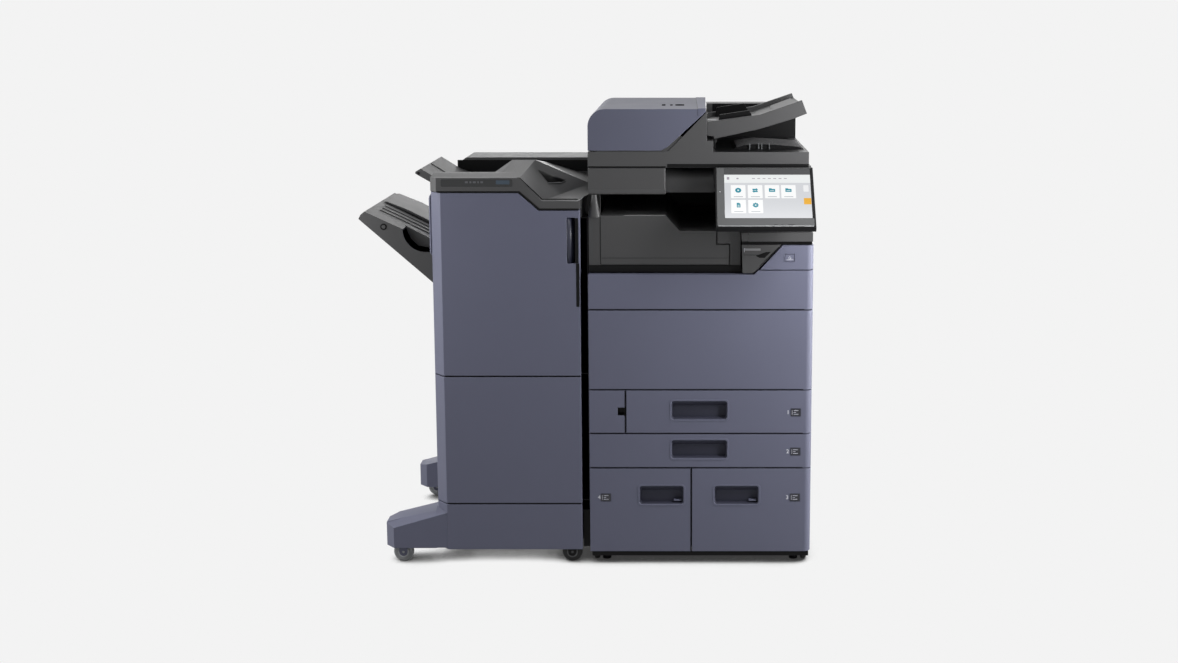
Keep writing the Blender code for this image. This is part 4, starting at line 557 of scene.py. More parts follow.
# Ground rubber: dull and dark, with no highlight.
rubber = moulded("roller_rubber", "#232323", 0.72, 0.00008)
dress(["pickup_roller"], rubber, 0.0006)
moulding("hood_cap_seam", "hood", "black_plastic", black_abs, 0.0,
         block((-0.0092, -0.0084), (0.0310, 0.5880), (1.2435, 1.2443)),
         block((-0.0092, -0.0084), (0.0295, 0.0310), (1.2260, 1.2436)))
moulding("hood_top_cap", "hood", "violet_plastic", violet_abs, 0.0006,
         ([(-0.0080, 0.0330), (0.0122, 0.0330), (0.0205, 0.5880), (-0.0080, 0.5880)], "Z", 1.2436, 1.2456))
moulding("hood_rest", "feeder", "charcoal_plastic", charcoal_abs, 0.0,
         ([(-0.0868, 1.1330), (0.0142, 1.2345), (0.0180, 1.2320), (-0.0830, 1.1305)], "Y", 0.0325, 0.0560))
# Matt black print: it takes no light and stays black from every side.
printed_black = moulded("printed_black", "#0B0B0C", 0.9, 0.00001, 0.0)
moulding("hood_lamp_window", "hood", "black_plastic", printed_black, 0.0002,
         (rounded((-0.0690, -0.0440), (0.185, 0.245), 0.0120), "Z", 1.2438, 1.2444),
         (rounded((-0.0830, -0.0760), (0.190, 0.240), 0.0032), "Z", 1.2438, 1.2443),
         (rounded((-0.1060, -0.0960), (0.185, 0.245), 0.0045), "Z", 1.2438, 1.2443))
# Black strips along the feeder's lower front and a black sheet between the feeder and the glass: painted shade.
moulding("feeder_shade_strip", "feeder", "black_plastic", black_abs, 0.0003,
         block((-0.0900, 0.2865), (0.0293, 0.0310), (1.0890, 1.0985)),
         block((-0.3000, -0.0940), (0.0293, 0.0310), (1.0888, 1.0922)),
         block((-0.3005, 0.2865), (0.0310, 0.5900), (1.0877, 1.0886)))
mound = [(0.0860, 1.1300), (0.0980, 1.1372), (0.1150, 1.1440), (0.1350, 1.1486), (0.1550, 1.1500),
         (0.1800, 1.1490), (0.2100, 1.1466), (0.2400, 1.1432), (0.2640, 1.1396), (0.2750, 1.1360), (0.2800, 1.1300)]
DECK_Z, MOUND_SHARE = 1.13, 0.7
mound = [(x, DECK_Z + (z - DECK_Z) * MOUND_SHARE) for x, z in mound]
# Black sheets on the deck's back wall and floor under the hood: painted shade.
moulding("feeder_back_shade", "feeder", "black_plastic", black_abs, 0.0,
         block((0.0400, 0.2862), (0.5042, 0.5049), (1.1303, 1.2310)))
moulding("eject_deck_shade", "feeder", "black_plastic", black_abs, 0.0,
         block((0.0400, 0.2620), (0.0345, 0.5040), (1.1300, 1.1304)))
moulding("eject_deck", "feeder", "black_plastic", black_abs, 0.0, (mound, "Y", 0.110, 0.3400))
ribs = [([(x, z + 0.0022) for x, z in mound[1:-1]] + [(x, z - 0.001) for x, z in reversed(mound[1:-1])],
         "Y", y, y + 0.004) for y in (0.122, 0.152, 0.182, 0.212, 0.242, 0.272, 0.302)]
moulding("eject_deck_ribs", "feeder", "charcoal_plastic", charcoal_abs, 0.0004, *ribs)
# The paddles are grey ABS, paler than the deck, so they show against it.
paddle_abs = moulded("paddle_abs", "#56585A", 0.40, 0.00003)
moulding("eject_paddle", "feeder", "charcoal_plastic", paddle_abs, 0.0003,
         *[block((x, x + 0.0030), (0.1050, 0.1105), (1.1304, 1.1470)) for x in (0.1310, 0.1555, 0.1635, 0.1840)])
exit_guard = [block((0.0345, 0.0395), (y, y + 0.0030), (1.1335, 1.1800)) for y in
              [0.080 + 0.032 * i for i in range(13)]]
moulding("exit_guides", "feeder", "black_plastic", black_abs, 0.0004, *exit_guard)
for index, z in enumerate((1.1520, 1.1660)):
    moulding(f"exit_rollers_{index + 1}", "feeder", "rubber", rubber, 0.0004,
             *[disc(0.0390, z, 0.0062, "Y", y, y + 0.018) for y in (0.130, 0.220, 0.310, 0.400)])

# ------------------------------------------------------------------ originals tray
# A lifting tray of charcoal ABS. It has a folding end flap, raised side lips, two sheet guides on racks, a
# pale strip where the sheet's edge goes, and stiffening ribs underneath.
TRAY_FACE = ((0.0300, 1.1950), (0.1660, 1.2142), (0.2700, 1.2509))


def over_tray(x, lift):
    """A point this far above the tray's upper face."""
    for (x0, z0), (x1, z1) in zip(TRAY_FACE, TRAY_FACE[1:]):
        if x <= x1 or x1 == TRAY_FACE[-1][0]:
            return x, z0 + (x - x0) * (z1 - z0) / (x1 - x0) + lift


moulding("tray_end_flap", "originals_tray", "charcoal_plastic", charcoal_abs, 0.0008,
         ([over_tray(0.200, 0.0004), over_tray(0.262, 0.0004), over_tray(0.262, 0.0062), over_tray(0.206, 0.0052)],
          "Y", 0.150, 0.380))
# Black strips for the grooves in the tray's face: painted shade in them.
moulding("tray_face_grooves", "originals_tray", "black_plastic", black_abs, 0.0,
         *[([over_tray(0.062, 0.0001), over_tray(0.160, 0.0001), over_tray(0.160, 0.0006),
             over_tray(0.062, 0.0006)], "Y", y, y + 0.006) for y in (0.170, 0.262, 0.354)])
# Pale plastic with its own even glow: a painted glow that stands in for light falling into translucent plastic.
painted_glow_strip = lit("painted_glow_strip", "#C8CACC", 0.55)
moulding("tray_edge_strip", "originals_tray", "glass", painted_glow_strip, 0.0,
         block((0.0180, 0.0410), (0.0740, 0.0751), (1.2120, 1.2150)))

# ------------------------------------------------------------------ scanner and platen
# A charcoal housing over a strengthened glass plate. White strips with size marks frame the glass, and a white
# foam pad under the feeder presses the page flat; the lamp rides below on a black carriage.
# Steel, zinc plated and passivated: a grey metal, cloudy and streaked rather than mirror-like.
zinc, tree, out = blank("zinc_plated_steel")
where = add(tree, "ShaderNodeTexCoord").outputs["Object"]
flow = add(tree, "ShaderNodeTexNoise", {"Scale": 24.0, "Detail": 6.0, "Roughness": 0.7}, {"Vector": where})
shade = add(tree, "ShaderNodeMapRange", {"To Min": 0.24, "To Max": 0.44}, {"Value": flow.outputs["Fac"]})
rolled = add(tree, "ShaderNodeBump", {"Strength": 0.2, "Distance": 0.0001}, {"Height": flow.outputs["Fac"]})
face = add(tree, "ShaderNodeBsdfPrincipled", {"Base Color": linear("#A9ABAD"), "Metallic": 1.0},
           {"Roughness": shade.outputs[0], "Normal": rolled.outputs[0]})
tree.links.new(face.outputs[0], out.inputs["Surface"])
# Soft white foam film: chalky, with no shine.
white_foam = moulded("white_foam", "#E4E5E3", 0.9, 0.0003, mottle=0.02)
# White ABS: an off-white strip with a slight gloss.
white_abs = moulded("white_abs", "#D9DAD8", 0.45, 0.00005)
# Polished float glass, faintly green: seen mainly by its reflection.
platen, tree, out = blank("platen_glass")
face = add(tree, "ShaderNodeBsdfPrincipled", {"Base Color": (0.86, 0.92, 0.90, 1.0), "Roughness": 0.02, "IOR": 1.5,
                                              "Transmission Weight": 1.0})
tree.links.new(face.outputs[0], out.inputs["Surface"])
dress(["platen_glass"], platen, 0.0)
dress(["scanner_housing"], charcoal_abs, 0.0014)
dress(["scanner_carriage"], black_abs, 0.0006)
moulding("platen_scales", "machine", "charcoal_plastic", white_abs, 0.0002,
         block((-0.2550, 0.2150), (0.4715, 0.4900), (1.0869, 1.0874)),
         block((-0.2640, -0.2462), (0.1400, 0.4900), (1.0869, 1.0874)))
ticks = [block((-0.2450 + x, -0.2442 + x), (0.4725, 0.4725 + (0.008 if i % 5 else 0.013)), (1.0873, 1.0876))
         for i, x in enumerate([0.01 * n for n in range(46)])]
moulding("platen_scale_marks", "machine", "black_plastic", black_abs, 0.0, *ticks)
moulding("platen_pad", "feeder", "charcoal_plastic", white_foam, 0.0,
         block((-0.2600, 0.2300), (0.1300, 0.4850), (1.0876, 1.0884)))
moulding("lamp_carriage_lamp", "lamp_carriage", "glass", white_abs, 0.0002,
         block((-0.2330, -0.2290), (0.1500, 0.4600), (1.0765, 1.0775)))
scoop = [(0.0898 - 0.0398 * math.sin(math.radians(t)), 1.0840 - 0.0640 * (1 - math.cos(math.radians(t))))
         for t in range(0, 91, 9)]
# Satin ABS from a smoother mould: a soft wide highlight follows the curve.
satin_abs = moulded("satin_black_abs", "#343435", 0.45, 0.00002, mottle=0.01)
moulding("scanner_front_scoop", "machine", "charcoal_plastic", satin_abs, 0.0,
         (scoop + [(0.0898, 1.0200)], "X", -0.0935, 0.0345))
moulding("scanner_lower_lip", "machine", "charcoal_plastic", charcoal_abs, 0.0008,
         ([(0.0300, 1.0305), (0.0282, 1.0270), (0.0282, 1.0190), (0.0300, 1.0180)], "X", -0.3003, -0.0945))

# ------------------------------------------------------------------ output bay and relay
# The bay where copies land. It is moulded in charcoal ABS, with black plates and strips as painted shade in its
# depths and a painted highlight on the relay's upper edge; at its left a tapered post holds the scanner, and the
# relay unit below carries sheets on to the finisher.
dress(["output_bay", "bridge_unit"], charcoal_abs, 0.0010)
# Black plates beside the post and across the bay's back wall: painted shade.
moulding("bay_shadow_panels", "machine", "black_plastic", black_abs, 0.0,
         block((-0.3004, -0.2690), (0.0292, 0.0299), (0.9620, 1.0160)),
         block((-0.2680, 0.1080), (0.6085, 0.6095), (0.8600, 1.0150)))
POST_RINGS = ((0.0157, 0.0100, 0.9560), (0.0154, 0.0100, 0.9640), (0.0085, 0.0070, 1.0020),
              (0.0070, 0.0060, 1.0165))
post = skin([[at(-0.2847 + rx * math.cos(math.radians(a)), 0.0290 - ry * math.sin(math.radians(a)), z)
              for a in range(0, 181, 15)] for rx, ry, z in POST_RINGS])
piece("bay_post_cone", post, "machine", charcoal_abs, 0.0, 2, 60)
# A black strip along the bay's lower front edge: painted shade in the recess there.
moulding("bay_floor_shade", "machine", "black_plastic", black_abs, 0.0004,
         block((-0.2995, 0.1075), (0.0270, 0.0298), (0.8068, 0.8262)))
# The relay's upper edge is smooth pale grey ABS as a painted highlight, a bright thin bead along the black.
bead_abs = moulded("painted_relay_highlight", "#8C8C8C", 0.35, 0.00003)
moulding("relay_edge_bead", "machine", "charcoal_plastic", bead_abs, 0.0003,
         block((-0.2050, -0.0960), (0.0298, 0.0325), (0.9600, 0.9614)))
moulding("relay_seam", "machine", "black_plastic", black_abs, 0.0,
         block((-0.2660, 0.0740), (0.0294, 0.0302), (0.8450, 0.8457)),
         block((-0.2696, -0.2680), (0.0294, 0.0302), (0.8280, 0.9600)),
         block((0.0410, 0.0428), (0.0292, 0.0302), (0.8812, 0.9180)),
         block((0.0410, 0.0778), (0.0292, 0.0302), (0.8812, 0.8830)),
         block((0.0760, 0.0778), (0.0292, 0.0302), (0.8270, 0.8820)))
# A shallow crease in the cover, painted as shade: only a tone darker than the ABS around it.
crease_abs = moulded("painted_crease_shade", "#2E2E2F", 0.5, 0.00002)
moulding("relay_crease", "machine", "black_plastic", crease_abs, 0.0,
         block((-0.0560, 0.0400), (0.0294, 0.0302), (0.9120, 0.9126)))
moulding("bay_exit_rollers", "machine", "rubber", rubber, 0.0003,
         *[disc(0.6000, 0.9860, 0.0070, "X", x, x + 0.020)
           for x in (-0.225, -0.165, -0.105, -0.045, 0.015, 0.065)])
moulding("bay_exit_shaft", "machine", "zinc_steel", zinc, 0.0,
         disc(0.6000, 0.9860, 0.0030, "X", -0.2600, 0.1050))

# ------------------------------------------------------------------ ledge and socket trim
# Beside the switch panel a charcoal trim holds a memory-stick socket under a flap, with a light bar over it;
# the ledge above carries the screen's arm.
dress(["right_tower"], charcoal_abs, 0.0010)
moulding("ledge_end", "machine", "charcoal_plastic", charcoal_abs, 0.0010,
         block((0.1085, 0.1262), (0.0020, 0.0300), (0.8945, 0.9180)))
moulding("socket_trim", "machine", "charcoal_plastic", charcoal_abs, 0.0008,
         ([(0.1087, 0.8850), (0.1115, 0.8085), (0.1385, 0.8085), (0.1500, 0.8175), (0.2140, 0.8850)],
          "Y", 0.0040, 0.0117))
moulding("trim_edge_line", "machine", "black_plastic", black_abs, 0.0,
         ([(0.1560, 0.8280), (0.1572, 0.8272), (0.2085, 0.8790), (0.2073, 0.8798)], "Y", 0.0034, 0.0041),
         block((0.1140, 0.1660), (0.0034, 0.0041), (0.8572, 0.8584)),
         ([(0.1460, 0.8555), (0.1740, 0.8660), (0.1860, 0.8660), (0.1700, 0.8500), (0.1560, 0.8500)],
          "Y", 0.0034, 0.0041))
# Satin grey ABS: the flap is smoother and paler than its trim.
satin_grey = moulded("satin_grey_abs", "#7C7C7E", 0.34, 0.00003)
moulding("socket_flap", "machine", "charcoal_plastic", satin_grey, 0.0006,
         (rounded((0.1160, 0.1590), (0.8695, 0.8755), 0.0014, 3), "Y", 0.0026, 0.0041))
moulding("socket_flap_grip", "machine", "charcoal_plastic", ink_white, 0.0002,
         block((0.1146, 0.1158), (0.0026, 0.0041), (0.8655, 0.8765)))
moulding("ledge_shadow_gap", "machine", "black_plastic", black_abs, 0.0,
         block((0.1090, 0.2960), (0.0105, 0.0115), (0.8845, 0.8940)))

# ------------------------------------------------------------------ side and rear covers
# Violet ABS skins screwed to the frame. The right one is the conveyor door with its pull and the folded bypass
# tray. The rear one has louvres, socket plates and screws; they are set under its face to keep the machine's
# depth, so they stay hidden as long as the cover has no recesses for them.
dress(["left_cover", "right_cover", "rear_cover", "right_door"], violet_abs, 0.0010)
dress(["bypass_tray"], charcoal_abs, 0.0010)
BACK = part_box("rear_cover")[1][1] - FRONT_Y
louvres = [block((x, x + 0.170), (BACK - 0.0012, BACK - 0.0001), (z, z + 0.0042))
           for x in (-0.250, 0.070) for z in [0.560 + 0.0105 * i for i in range(12)]]
moulding("rear_louvres", "machine", "black_plastic", black_abs, 0.0004, *louvres)
moulding("rear_sockets", "machine", "black_plastic", black_abs, 0.0006,
         (rounded((-0.2450, -0.2150), (0.1300, 0.1560), 0.0030), "Y", BACK - 0.0060, BACK - 0.0001),
         (rounded((0.1500, 0.1700), (0.4300, 0.4460), 0.0010), "Y", BACK - 0.0040, BACK - 0.0001),
         (rounded((0.1780, 0.1920), (0.4300, 0.4400), 0.0010), "Y", BACK - 0.0040, BACK - 0.0001))
screws = [disc(x, z, 0.0034, "Y", BACK - 0.0015, BACK - 0.0001, 16)
          for x in (-0.285, 0.285) for z in (0.090, 0.400, 0.760)]
moulding("rear_screws", "machine", "zinc_steel", zinc, 0.0003, *screws)

# ------------------------------------------------------------------ finisher top and trays
# The finisher's charcoal top has a smoked window with its lamps, a hopper whose front lip carries a painted
# highlight, and a black wall behind, painted as shade. Its trays are ribbed ABS mouldings that step down towards
# the machine.
dress(["finisher_top_cover", "finisher_top_tray", "finisher_main_tray"], charcoal_abs, 0.0014)
# Smoked ABS, polished: a dark band with a clean reflection.
smoked_abs = moulded("smoked_abs", "#2E2F30", 0.2, 0.00001)
moulding("finisher_window", "machine", "black_plastic", smoked_abs, 0.0003,
         (rounded((-0.6880, -0.4990), (1.0410, 1.0610), 0.0030, 3), "Y", -0.0006, 0.0002))
# Dim grey ink: signs that can just be seen when their lamps are off.
dim_ink = moulded("dim_grey_ink", "#55565A", 0.5, 0.00001)
moulding("finisher_window_signs", "machine", "black_plastic", dim_ink, 0.0,
         *[(rounded((x, x + w), (1.0505, 1.0555), 0.0008, 2), "Y", -0.0008, -0.0005)
           for x, w in ((-0.6240, 0.008), (-0.6120, 0.005), (-0.6030, 0.008), (-0.5910, 0.004), (-0.5830, 0.007))])
# Blue-tinted acrylic lens over lamps that are off: dark and glassy.
lamp_lens = moulded("lamp_lens", "#3D4A57", 0.2, 0.00001)
moulding("finisher_lamps", "machine", "black_plastic", lamp_lens, 0.0,
         (rounded((-0.5420, -0.5060), (1.0475, 1.0580), 0.0010, 2), "Y", -0.0008, -0.0005))
lip = bpy.data.curves.new("hopper_lip", "CURVE")
lip.dimensions = "3D"
line = lip.splines.new("POLY")
lip_points = [(-0.5620, 0.0012, 1.0641), (-0.4870, 0.0012, 1.0641), (-0.4220, 0.0012, 1.0030),
              (-0.3260, 0.0012, 1.0030), (-0.3100, 0.0600, 1.0100)]
line.points.add(len(lip_points) - 1)
for point, place in zip(line.points, lip_points):
    point.co = (*at(*place), 1.0)
lip.bevel_depth = 0.0011
lip.bevel_resolution = 3
lip.use_fill_caps = True
bead = bpy.data.objects.new("hopper_lip", lip)
scene.collection.objects.link(bead)
# The hopper's lip is smooth pale grey ABS, a painted highlight: its edge is a bright line.
lip_abs = moulded("painted_lip_highlight", "#77787A", 0.32, 0.00002)
lip.materials.append(lip_abs)
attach(bead, "machine")

# A black line under the fascia's lower edge: painted shadow along its seam.
moulding("fascia_shadow_line", "machine", "black_plastic", black_abs, 0.0,
         ([(-0.7000, 1.0252), (-0.4822, 1.0252), (-0.4290, 0.9790), (-0.3245, 0.9790), (-0.3245, 0.9830),
           (-0.4274, 0.9830), (-0.4806, 1.0292), (-0.7000, 1.0292)], "Y", -0.0006, 0.0004))
# A black line along the hopper's inner edge: painted shade where the edge turns down.
moulding("hopper_edge_shade", "machine", "black_plastic", black_abs, 0.0,
         ([(-0.4860, 1.0625), (-0.4800, 1.0625), (-0.4213, 1.0062), (-0.3262, 1.0062), (-0.3262, 1.0088),
           (-0.4203, 1.0088), (-0.4790, 1.0651), (-0.4860, 1.0651)], "Y", 0.0015, 0.0040))


def patch(name, rides, finish, slot, thickness, *faces):
    """Thin raised faces laid on a sloping surface."""
    shape = bmesh.new()
    for corners in faces:
        shape.faces.new([shape.verts.new(at(*corner)) for corner in corners])
    made = piece(name, shape, rides, finish)
    wall = made.modifiers.new("wall", "SOLIDIFY")
    wall.thickness = thickness
    wall.offset = 0.0
    return made


# A black face in the hopper's recess and a pale lip round it: painted shade and a painted highlight.
patch("hopper_recess", "machine", black_abs, "black_plastic", 0.0008,
      [(-0.4409, 0.1188, 1.0737), (-0.3659, 0.1235, 1.0445), (-0.3790, 0.1080, 1.0408), (-0.4118, 0.0894, 1.0422)])
patch("hopper_recess_lip", "machine", lip_abs, "charcoal_plastic", 0.0008,
      [(-0.4118, 0.0890, 1.0424), (-0.3790, 0.1076, 1.0410), (-0.3659, 0.1232, 1.0447), (-0.3655, 0.1212, 1.0436),
       (-0.3782, 0.1050, 1.0396), (-0.4130, 0.0860, 1.0412)])
# A black sheet on the wall behind the hopper: painted shade.
moulding("hopper_back_shade", "machine", "black_plastic", black_abs, 0.0,
         block((-0.7150, -0.3160), (0.4832, 0.4838), (1.0330, 1.0660)))
# Charcoal ABS on a face that looks up, painted a tone paler than the walls below as painted light from above.
pale_charcoal = moulded("painted_lit_charcoal", "#6E6F70", 0.45, 0.00005)
moulding("rear_rail_top", "machine", "charcoal_plastic", pale_charcoal, 0.0006,
         block((-0.6860, -0.3180), (0.4850, 0.6520), (1.0728, 1.0737)))


MAIN_TRAY_TIP, MAIN_TRAY_BEND, MAIN_TRAY_FOOT = (-0.9050, 0.9671), (-0.8264, 0.9301), (-0.7214, 0.8781)


def main_face(x, y, lift=0.0):
    """A point on the main tray's upper face, which slopes down to the machine in two straight parts."""
    lo, hi = ((MAIN_TRAY_TIP, MAIN_TRAY_BEND) if x < MAIN_TRAY_BEND[0] else (MAIN_TRAY_BEND, MAIN_TRAY_FOOT))
    z = lo[1] + (x - lo[0]) * (hi[1] - lo[1]) / (hi[0] - lo[0])
    return x, y, z + lift


moulding("main_tray_step", "stacker_tray", "charcoal_plastic", charcoal_abs, 0.0015,
         ([(x, main_face(x, 0)[2] + l) for x, l in ((-0.9000, 0.0002), (-0.8264, 0.0002), (-0.7230, 0.0002),
                                                   (-0.7230, 0.0070), (-0.8264, 0.0095), (-0.8900, 0.0050))],
          "Y", 0.2950, 0.4880))
# A black strip at the foot of the tray's step: painted shade.
patch("main_tray_groove", "stacker_tray", black_abs, "black_plastic", 0.0006,
      [main_face(-0.8930, 0.2860, 0.0006), main_face(-0.8264, 0.2860, 0.0006), main_face(-0.8264, 0.2945, 0.0006),
       main_face(-0.8930, 0.2945, 0.0006)],
      [main_face(-0.8264, 0.2860, 0.0006), main_face(-0.7230, 0.2860, 0.0006), main_face(-0.7230, 0.2945, 0.0006),
       main_face(-0.8264, 0.2945, 0.0006)])
moulding("main_tray_ribs", "stacker_tray", "charcoal_plastic", charcoal_abs, 0.0006,
         *[([(x, main_face(x, 0)[2] + l) for x, l in ((-0.8850, 0.0002), (-0.8264, 0.0002), (-0.7300, 0.0002),
                                                     (-0.7300, 0.0022), (-0.8264, 0.0022), (-0.8850, 0.0022))],
            "Y", y, y + 0.005) for y in (0.165, 0.205, 0.245)])
moulding("main_tray_cap", "stacker_tray", "charcoal_plastic", charcoal_abs, 0.0005,
         (disc(-0.8542, 0.9257, 0.0050, "Y", 0.0578, 0.0602, 20)))
moulding("main_tray_cap_ring", "stacker_tray", "black_plastic", black_abs, 0.0004,
         (disc(-0.8542, 0.9257, 0.0090, "Y", 0.0588, 0.0602, 24)))
# A black strip across the top tray and a black disc on its front: painted shade.
moulding("top_tray_groove", "machine", "black_plastic", black_abs, 0.0,
         ([(-0.7560, 1.0764), (-0.7100, 1.0480), (-0.7092, 1.0492), (-0.7552, 1.0776)], "Y", 0.2600, 0.2680),
         (disc(-0.7655, 1.0655, 0.0036, "Y", 0.1088, 0.1100, 18)))

# ------------------------------------------------------------------ finisher doors and body
# Violet ABS doors and skins over a black steel frame. The upper door has a tall pull with a curved liner at its
# right edge; a soft-edged guard stands out along its left side.
dress(["finisher_door", "finisher_lower_panel", "finisher_base_panel", "finisher_side_cover",
       "finisher_rear_cover", "outrigger_front", "outrigger_rear"], violet_abs, 0.0016)
dress(["finisher_frame"], black_abs, 0.0006)
# Violet ABS inside the pull, smoother than outside and painted dark as shade: a dark blue-grey curve with a soft
# highlight.
navy_abs = moulded("shaded_navy_abs", "#2B2D3C", 0.34, 0.00003, mottle=0.02)
liner = bmesh.new()
PULL_Z = (0.8356, 0.9574)
PULL_STEPS = 8
for step in range(PULL_STEPS):
    turn = [math.radians((step + i) * 90 / PULL_STEPS) for i in (0, 1)]
    (x0, y0), (x1, y1) = [(-0.3562 + 0.0212 * math.sin(a), 0.0006 + 0.0236 * (1 - math.cos(a))) for a in turn]
    liner.faces.new([liner.verts.new(at(x, y, z)) for x, y, z in
                     ((x0, y0, PULL_Z[0]), (x1, y1, PULL_Z[0]), (x1, y1, PULL_Z[1]), (x0, y0, PULL_Z[1]))])
bmesh.ops.remove_doubles(liner, verts=liner.verts, dist=0.00001)
lined = piece("door_pull_liner", liner, "stacker_door", navy_abs, 0.0)
lined.modifiers.new("wall", "SOLIDIFY").thickness = 0.0006
moulding("door_pull_shade", "stacker_door", "black_plastic", black_abs, 0.0003,
         block((-0.3346, -0.3262), (-0.0005, 0.0006), PULL_Z),
         block((-0.3326, -0.3236), (-0.0005, 0.0006), (0.7180, 0.8352)))
moulding("door_edge_line", "stacker_door", "violet_plastic", violet_abs, 0.0003,
         block((-0.3256, -0.3240), (-0.0007, 0.0006), PULL_Z))
moulding("side_guard", "machine", "violet_plastic", violet_abs, 0.0030,
         ([(-0.7208, 0.8480), (-0.7268, 0.8560), (-0.7280, 0.8640), (-0.7280, 1.0040), (-0.7268, 1.0110),
           (-0.7208, 1.0190)], "Y", 0.0400, 0.0560))
shoe = bmesh.new()
plan = [(-0.7240, 0.0008), (-0.6922, 0.0008), (-0.7240, 0.0390)]
low = [shoe.verts.new(at(x, y, 0.0462)) for x, y in plan]
top = [shoe.verts.new(at(x, y, 0.1345 + 0.2955 * (x + 0.7289) + 0.4545 * (y - 0.0010))) for x, y in plan]
shoe.faces.new(low)
shoe.faces.new(list(reversed(top)))
for i in range(3):
    j = (i + 1) % 3
    shoe.faces.new((low[j], low[i], top[i], top[j]))
piece("outrigger_shoe", shoe, "machine", violet_abs, 0.0, 2, 30)
moulding("docking_seal", "machine", "black_plastic", black_abs, 0.0,
         block((-0.3209, -0.3012), (0.0300, 0.0340), (0.0400, 0.1450)))

# ------------------------------------------------------------------ wheels and feet
# Casters with rubber tyres on nylon hubs: pale grey under the outriggers, black with darker hubs elsewhere. A
# black plinth hangs below the lowest cassettes.
# Moulded nylon: waxy and even, dull beside the tyres.
grey_nylon = moulded("grey_nylon", "#5A5B5C", 0.5, 0.00005)
pale_nylon = moulded("pale_nylon", "#B4B6B8", 0.5, 0.00005)
# Black and grey rubber: matt, with a broad weak highlight on the tread.
grey_tyre = moulded("grey_tyre", "#949698", 0.5, 0.00006)
tyre = moulded("black_tyre", "#1C1C1C", 0.65, 0.00006)
MAIN_WHEELS = [f"caster_wheel_{end}_{side}" for end in ("front", "rear") for side in ("left", "right")]
SIDE_WHEELS = [f"finisher_wheel_{end}_{side}" for end in ("front", "rear") for side in ("left", "right")]
dress(MAIN_WHEELS + ["finisher_wheel_front_right", "finisher_wheel_rear_right"], tyre, 0.0014)
dress(["finisher_wheel_front_left", "finisher_wheel_rear_left"], grey_tyre, 0.0014)
HUB_SHARE, HUB_PROUD = 0.55, 0.0005
for name in MAIN_WHEELS + SIDE_WHEELS:
    low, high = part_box(name)
    centre = [(a + b) / 2 for a, b in zip(low, high)]
    radius = (high[2] - low[2]) / 2
    thin = 0 if high[0] - low[0] < high[1] - low[1] else 1
    along = "XY"[thin]
    places = [centre[0] - MIDDLE_X, centre[1] - FRONT_Y]
    across = places[1 - thin]
    half = (high[thin] - low[thin]) / 2
    hubs = [disc(across, centre[2], radius * HUB_SHARE, along, places[thin] + side * half - HUB_PROUD,
                 places[thin] + side * half + HUB_PROUD) for side in (-1, 1)]
    hub_nylon = pale_nylon if name.startswith("finisher") and name.endswith("left") else grey_nylon
    moulding(f"{name}_hub", f"{name}_body", "grey_wheel", hub_nylon, 0.0003, *hubs)
moulding("plinth", "machine", "black_plastic", black_abs, 0.0008,
         block((-0.2960, 0.2960), (0.0060, 0.0110), (0.0220, 0.0358)))

# ------------------------------------------------------------------ painted gap shade
# Painted shade: black strips along the lower and right edges of the front panels, each on the panel that carries
# it.
# They are 2 mm bands on the panel's rim and darken the gaps between the fronts.
SHADE_BAND, SHADE_PROUD, SHADE_DEEP = 0.0020, 0.0002, 0.0010
SHADE_END = -0.690
for node, rides, foot, side, short in (
        ("upper_front_panel", "machine", True, False, 0.024),
        ("front_cover", "front_cover_body", True, False, 0.024),
        ("cassette_1_front", "cassette_1", True, False, 0.024),
        ("cassette_2_front", "cassette_2", True, False, 0.024),
        ("waste_toner_door", "waste_door", True, True, 0.001),
        ("cassette_4_front", "cassette_4", False, True, 0.001),
        ("finisher_door", "stacker_door", True, False, 0.001),
        ("finisher_lower_panel", "machine", True, False, 0.001)):
    low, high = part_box(node)
    x0, x1, y0 = low[0] - MIDDLE_X, high[0] - MIDDLE_X, low[1] - FRONT_Y
    deep = (y0 - SHADE_PROUD, y0 + SHADE_DEEP)
    strips = []
    if foot:
        strips.append(block((max(x0, SHADE_END) + SHADE_BAND, x1 - short), deep, (low[2] + 0.0001, low[2] + SHADE_BAND)))
    if side:
        strips.append(block((x1 - SHADE_BAND, x1 - 0.0001), deep, (low[2] + 0.001, high[2] - 0.001)))
    moulding(f"{node}_gap_shade", rides, "black_plastic", black_abs, 0.0, *strips)
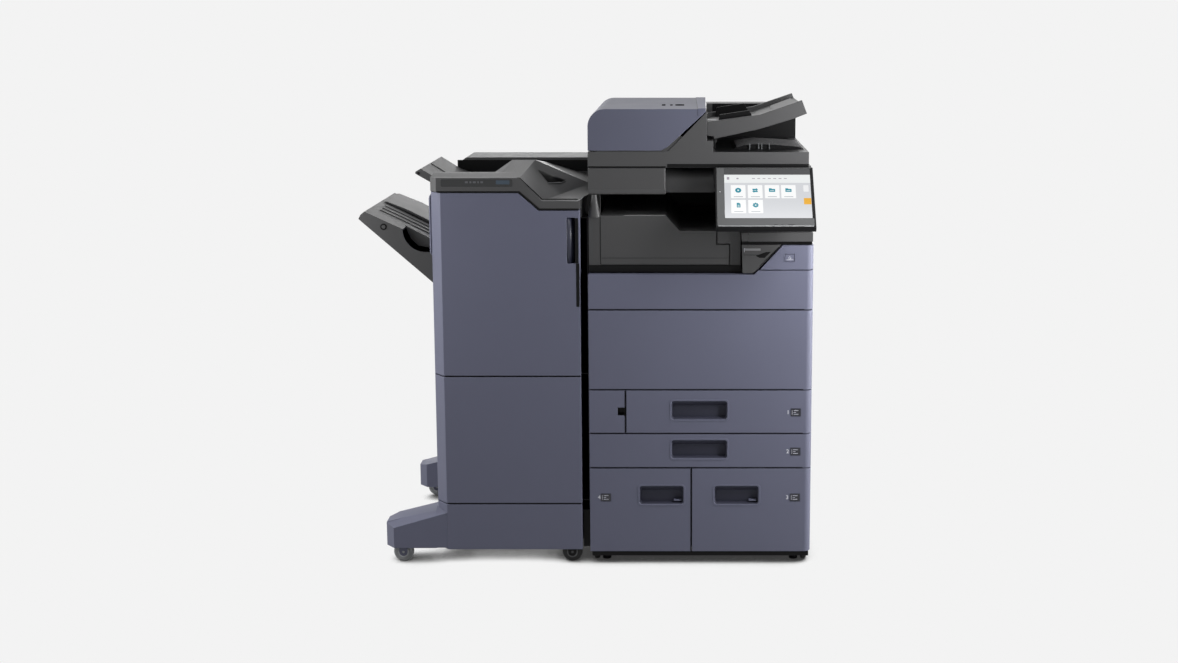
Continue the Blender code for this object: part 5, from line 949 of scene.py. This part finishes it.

# ------------------------------------------------------------------ inside the machine
# What the open doors show: toner containers with labels in their toners' colours, the transfer belt and the fuser,
# zinc plated lifting plates in the cassettes with their sheet guides, and the zinc plated stapler.
# Powder paint on the steel frame, dull and made black as painted shade, so the frame recedes behind the panels and
# the gaps between them read dark.
chassis_paint = moulded("painted_chassis", "#17171A", 0.5, 0.00005, 0.1)
dress(["chassis"], chassis_paint, 0.0)
dress(["transfer_belt_unit", "fuser_unit"], black_abs, 0.0015)
dress(["stapler_unit"], zinc, 0.0010)
# Each toner container is dark ABS with a label in its own toner's colour, dyed through and slightly glossy.
LABEL_WIDE, LABEL_TALL = 0.34, 0.30
for colour, hexed in (("yellow", "#D9B21C"), ("magenta", "#B5326B"), ("cyan", "#2492B8"), ("black", "#242425")):
    name = f"toner_{colour}"
    dress([name], moulded(f"{name}_abs", "#2E2F31", 0.45, 0.00005), 0.0012)
    low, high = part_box(name)
    x = ((low[0] + high[0]) / 2 - MIDDLE_X, (low[2] + high[2]) / 2)
    y = low[1] - FRONT_Y
    wide, tall = (high[0] - low[0]) * LABEL_WIDE, (high[2] - low[2]) * LABEL_TALL
    moulding(f"{name}_label", "machine", name, moulded(f"{name}_dye", hexed, 0.4, 0.00003), 0.0004,
             (rounded((x[0] - wide, x[0] + wide), (x[1] - tall, x[1] + tall), min(wide, tall) * 0.4), "Y",
              y - 0.0009, y + 0.0003))
for number in (1, 2, 3, 4):
    dress([f"cassette_{number}_bin"], charcoal_abs, 0.0008)
    low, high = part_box(f"cassette_{number}_bin")
    left, right = low[0] - MIDDLE_X, high[0] - MIDDLE_X
    front, back = low[1] - FRONT_Y, high[1] - FRONT_Y
    bottom = low[2]
    holder = f"cassette_{number}"
    moulding(f"{holder}_lift_plate", holder, "zinc_steel", zinc, 0.0006,
             block((left + 0.020, right - 0.020), (front + 0.020, back - 0.070),
                   (bottom + 0.0046, bottom + 0.0066)))
    middle = (front + back) / 2
    guide_y, guide_z = (middle - 0.060, middle + 0.060), (bottom + 0.0070, high[2] - 0.006)
    moulding(f"{holder}_sheet_guides", holder, "charcoal_plastic", charcoal_abs, 0.0008,
             block((left + 0.0050, left + 0.0090), guide_y, guide_z),
             block((right - 0.0090, right - 0.0050), guide_y, guide_z),
             block((left + 0.060, right - 0.060), (back - 0.0120, back - 0.0080),
                   (guide_z[0], high[2] - 0.010)))
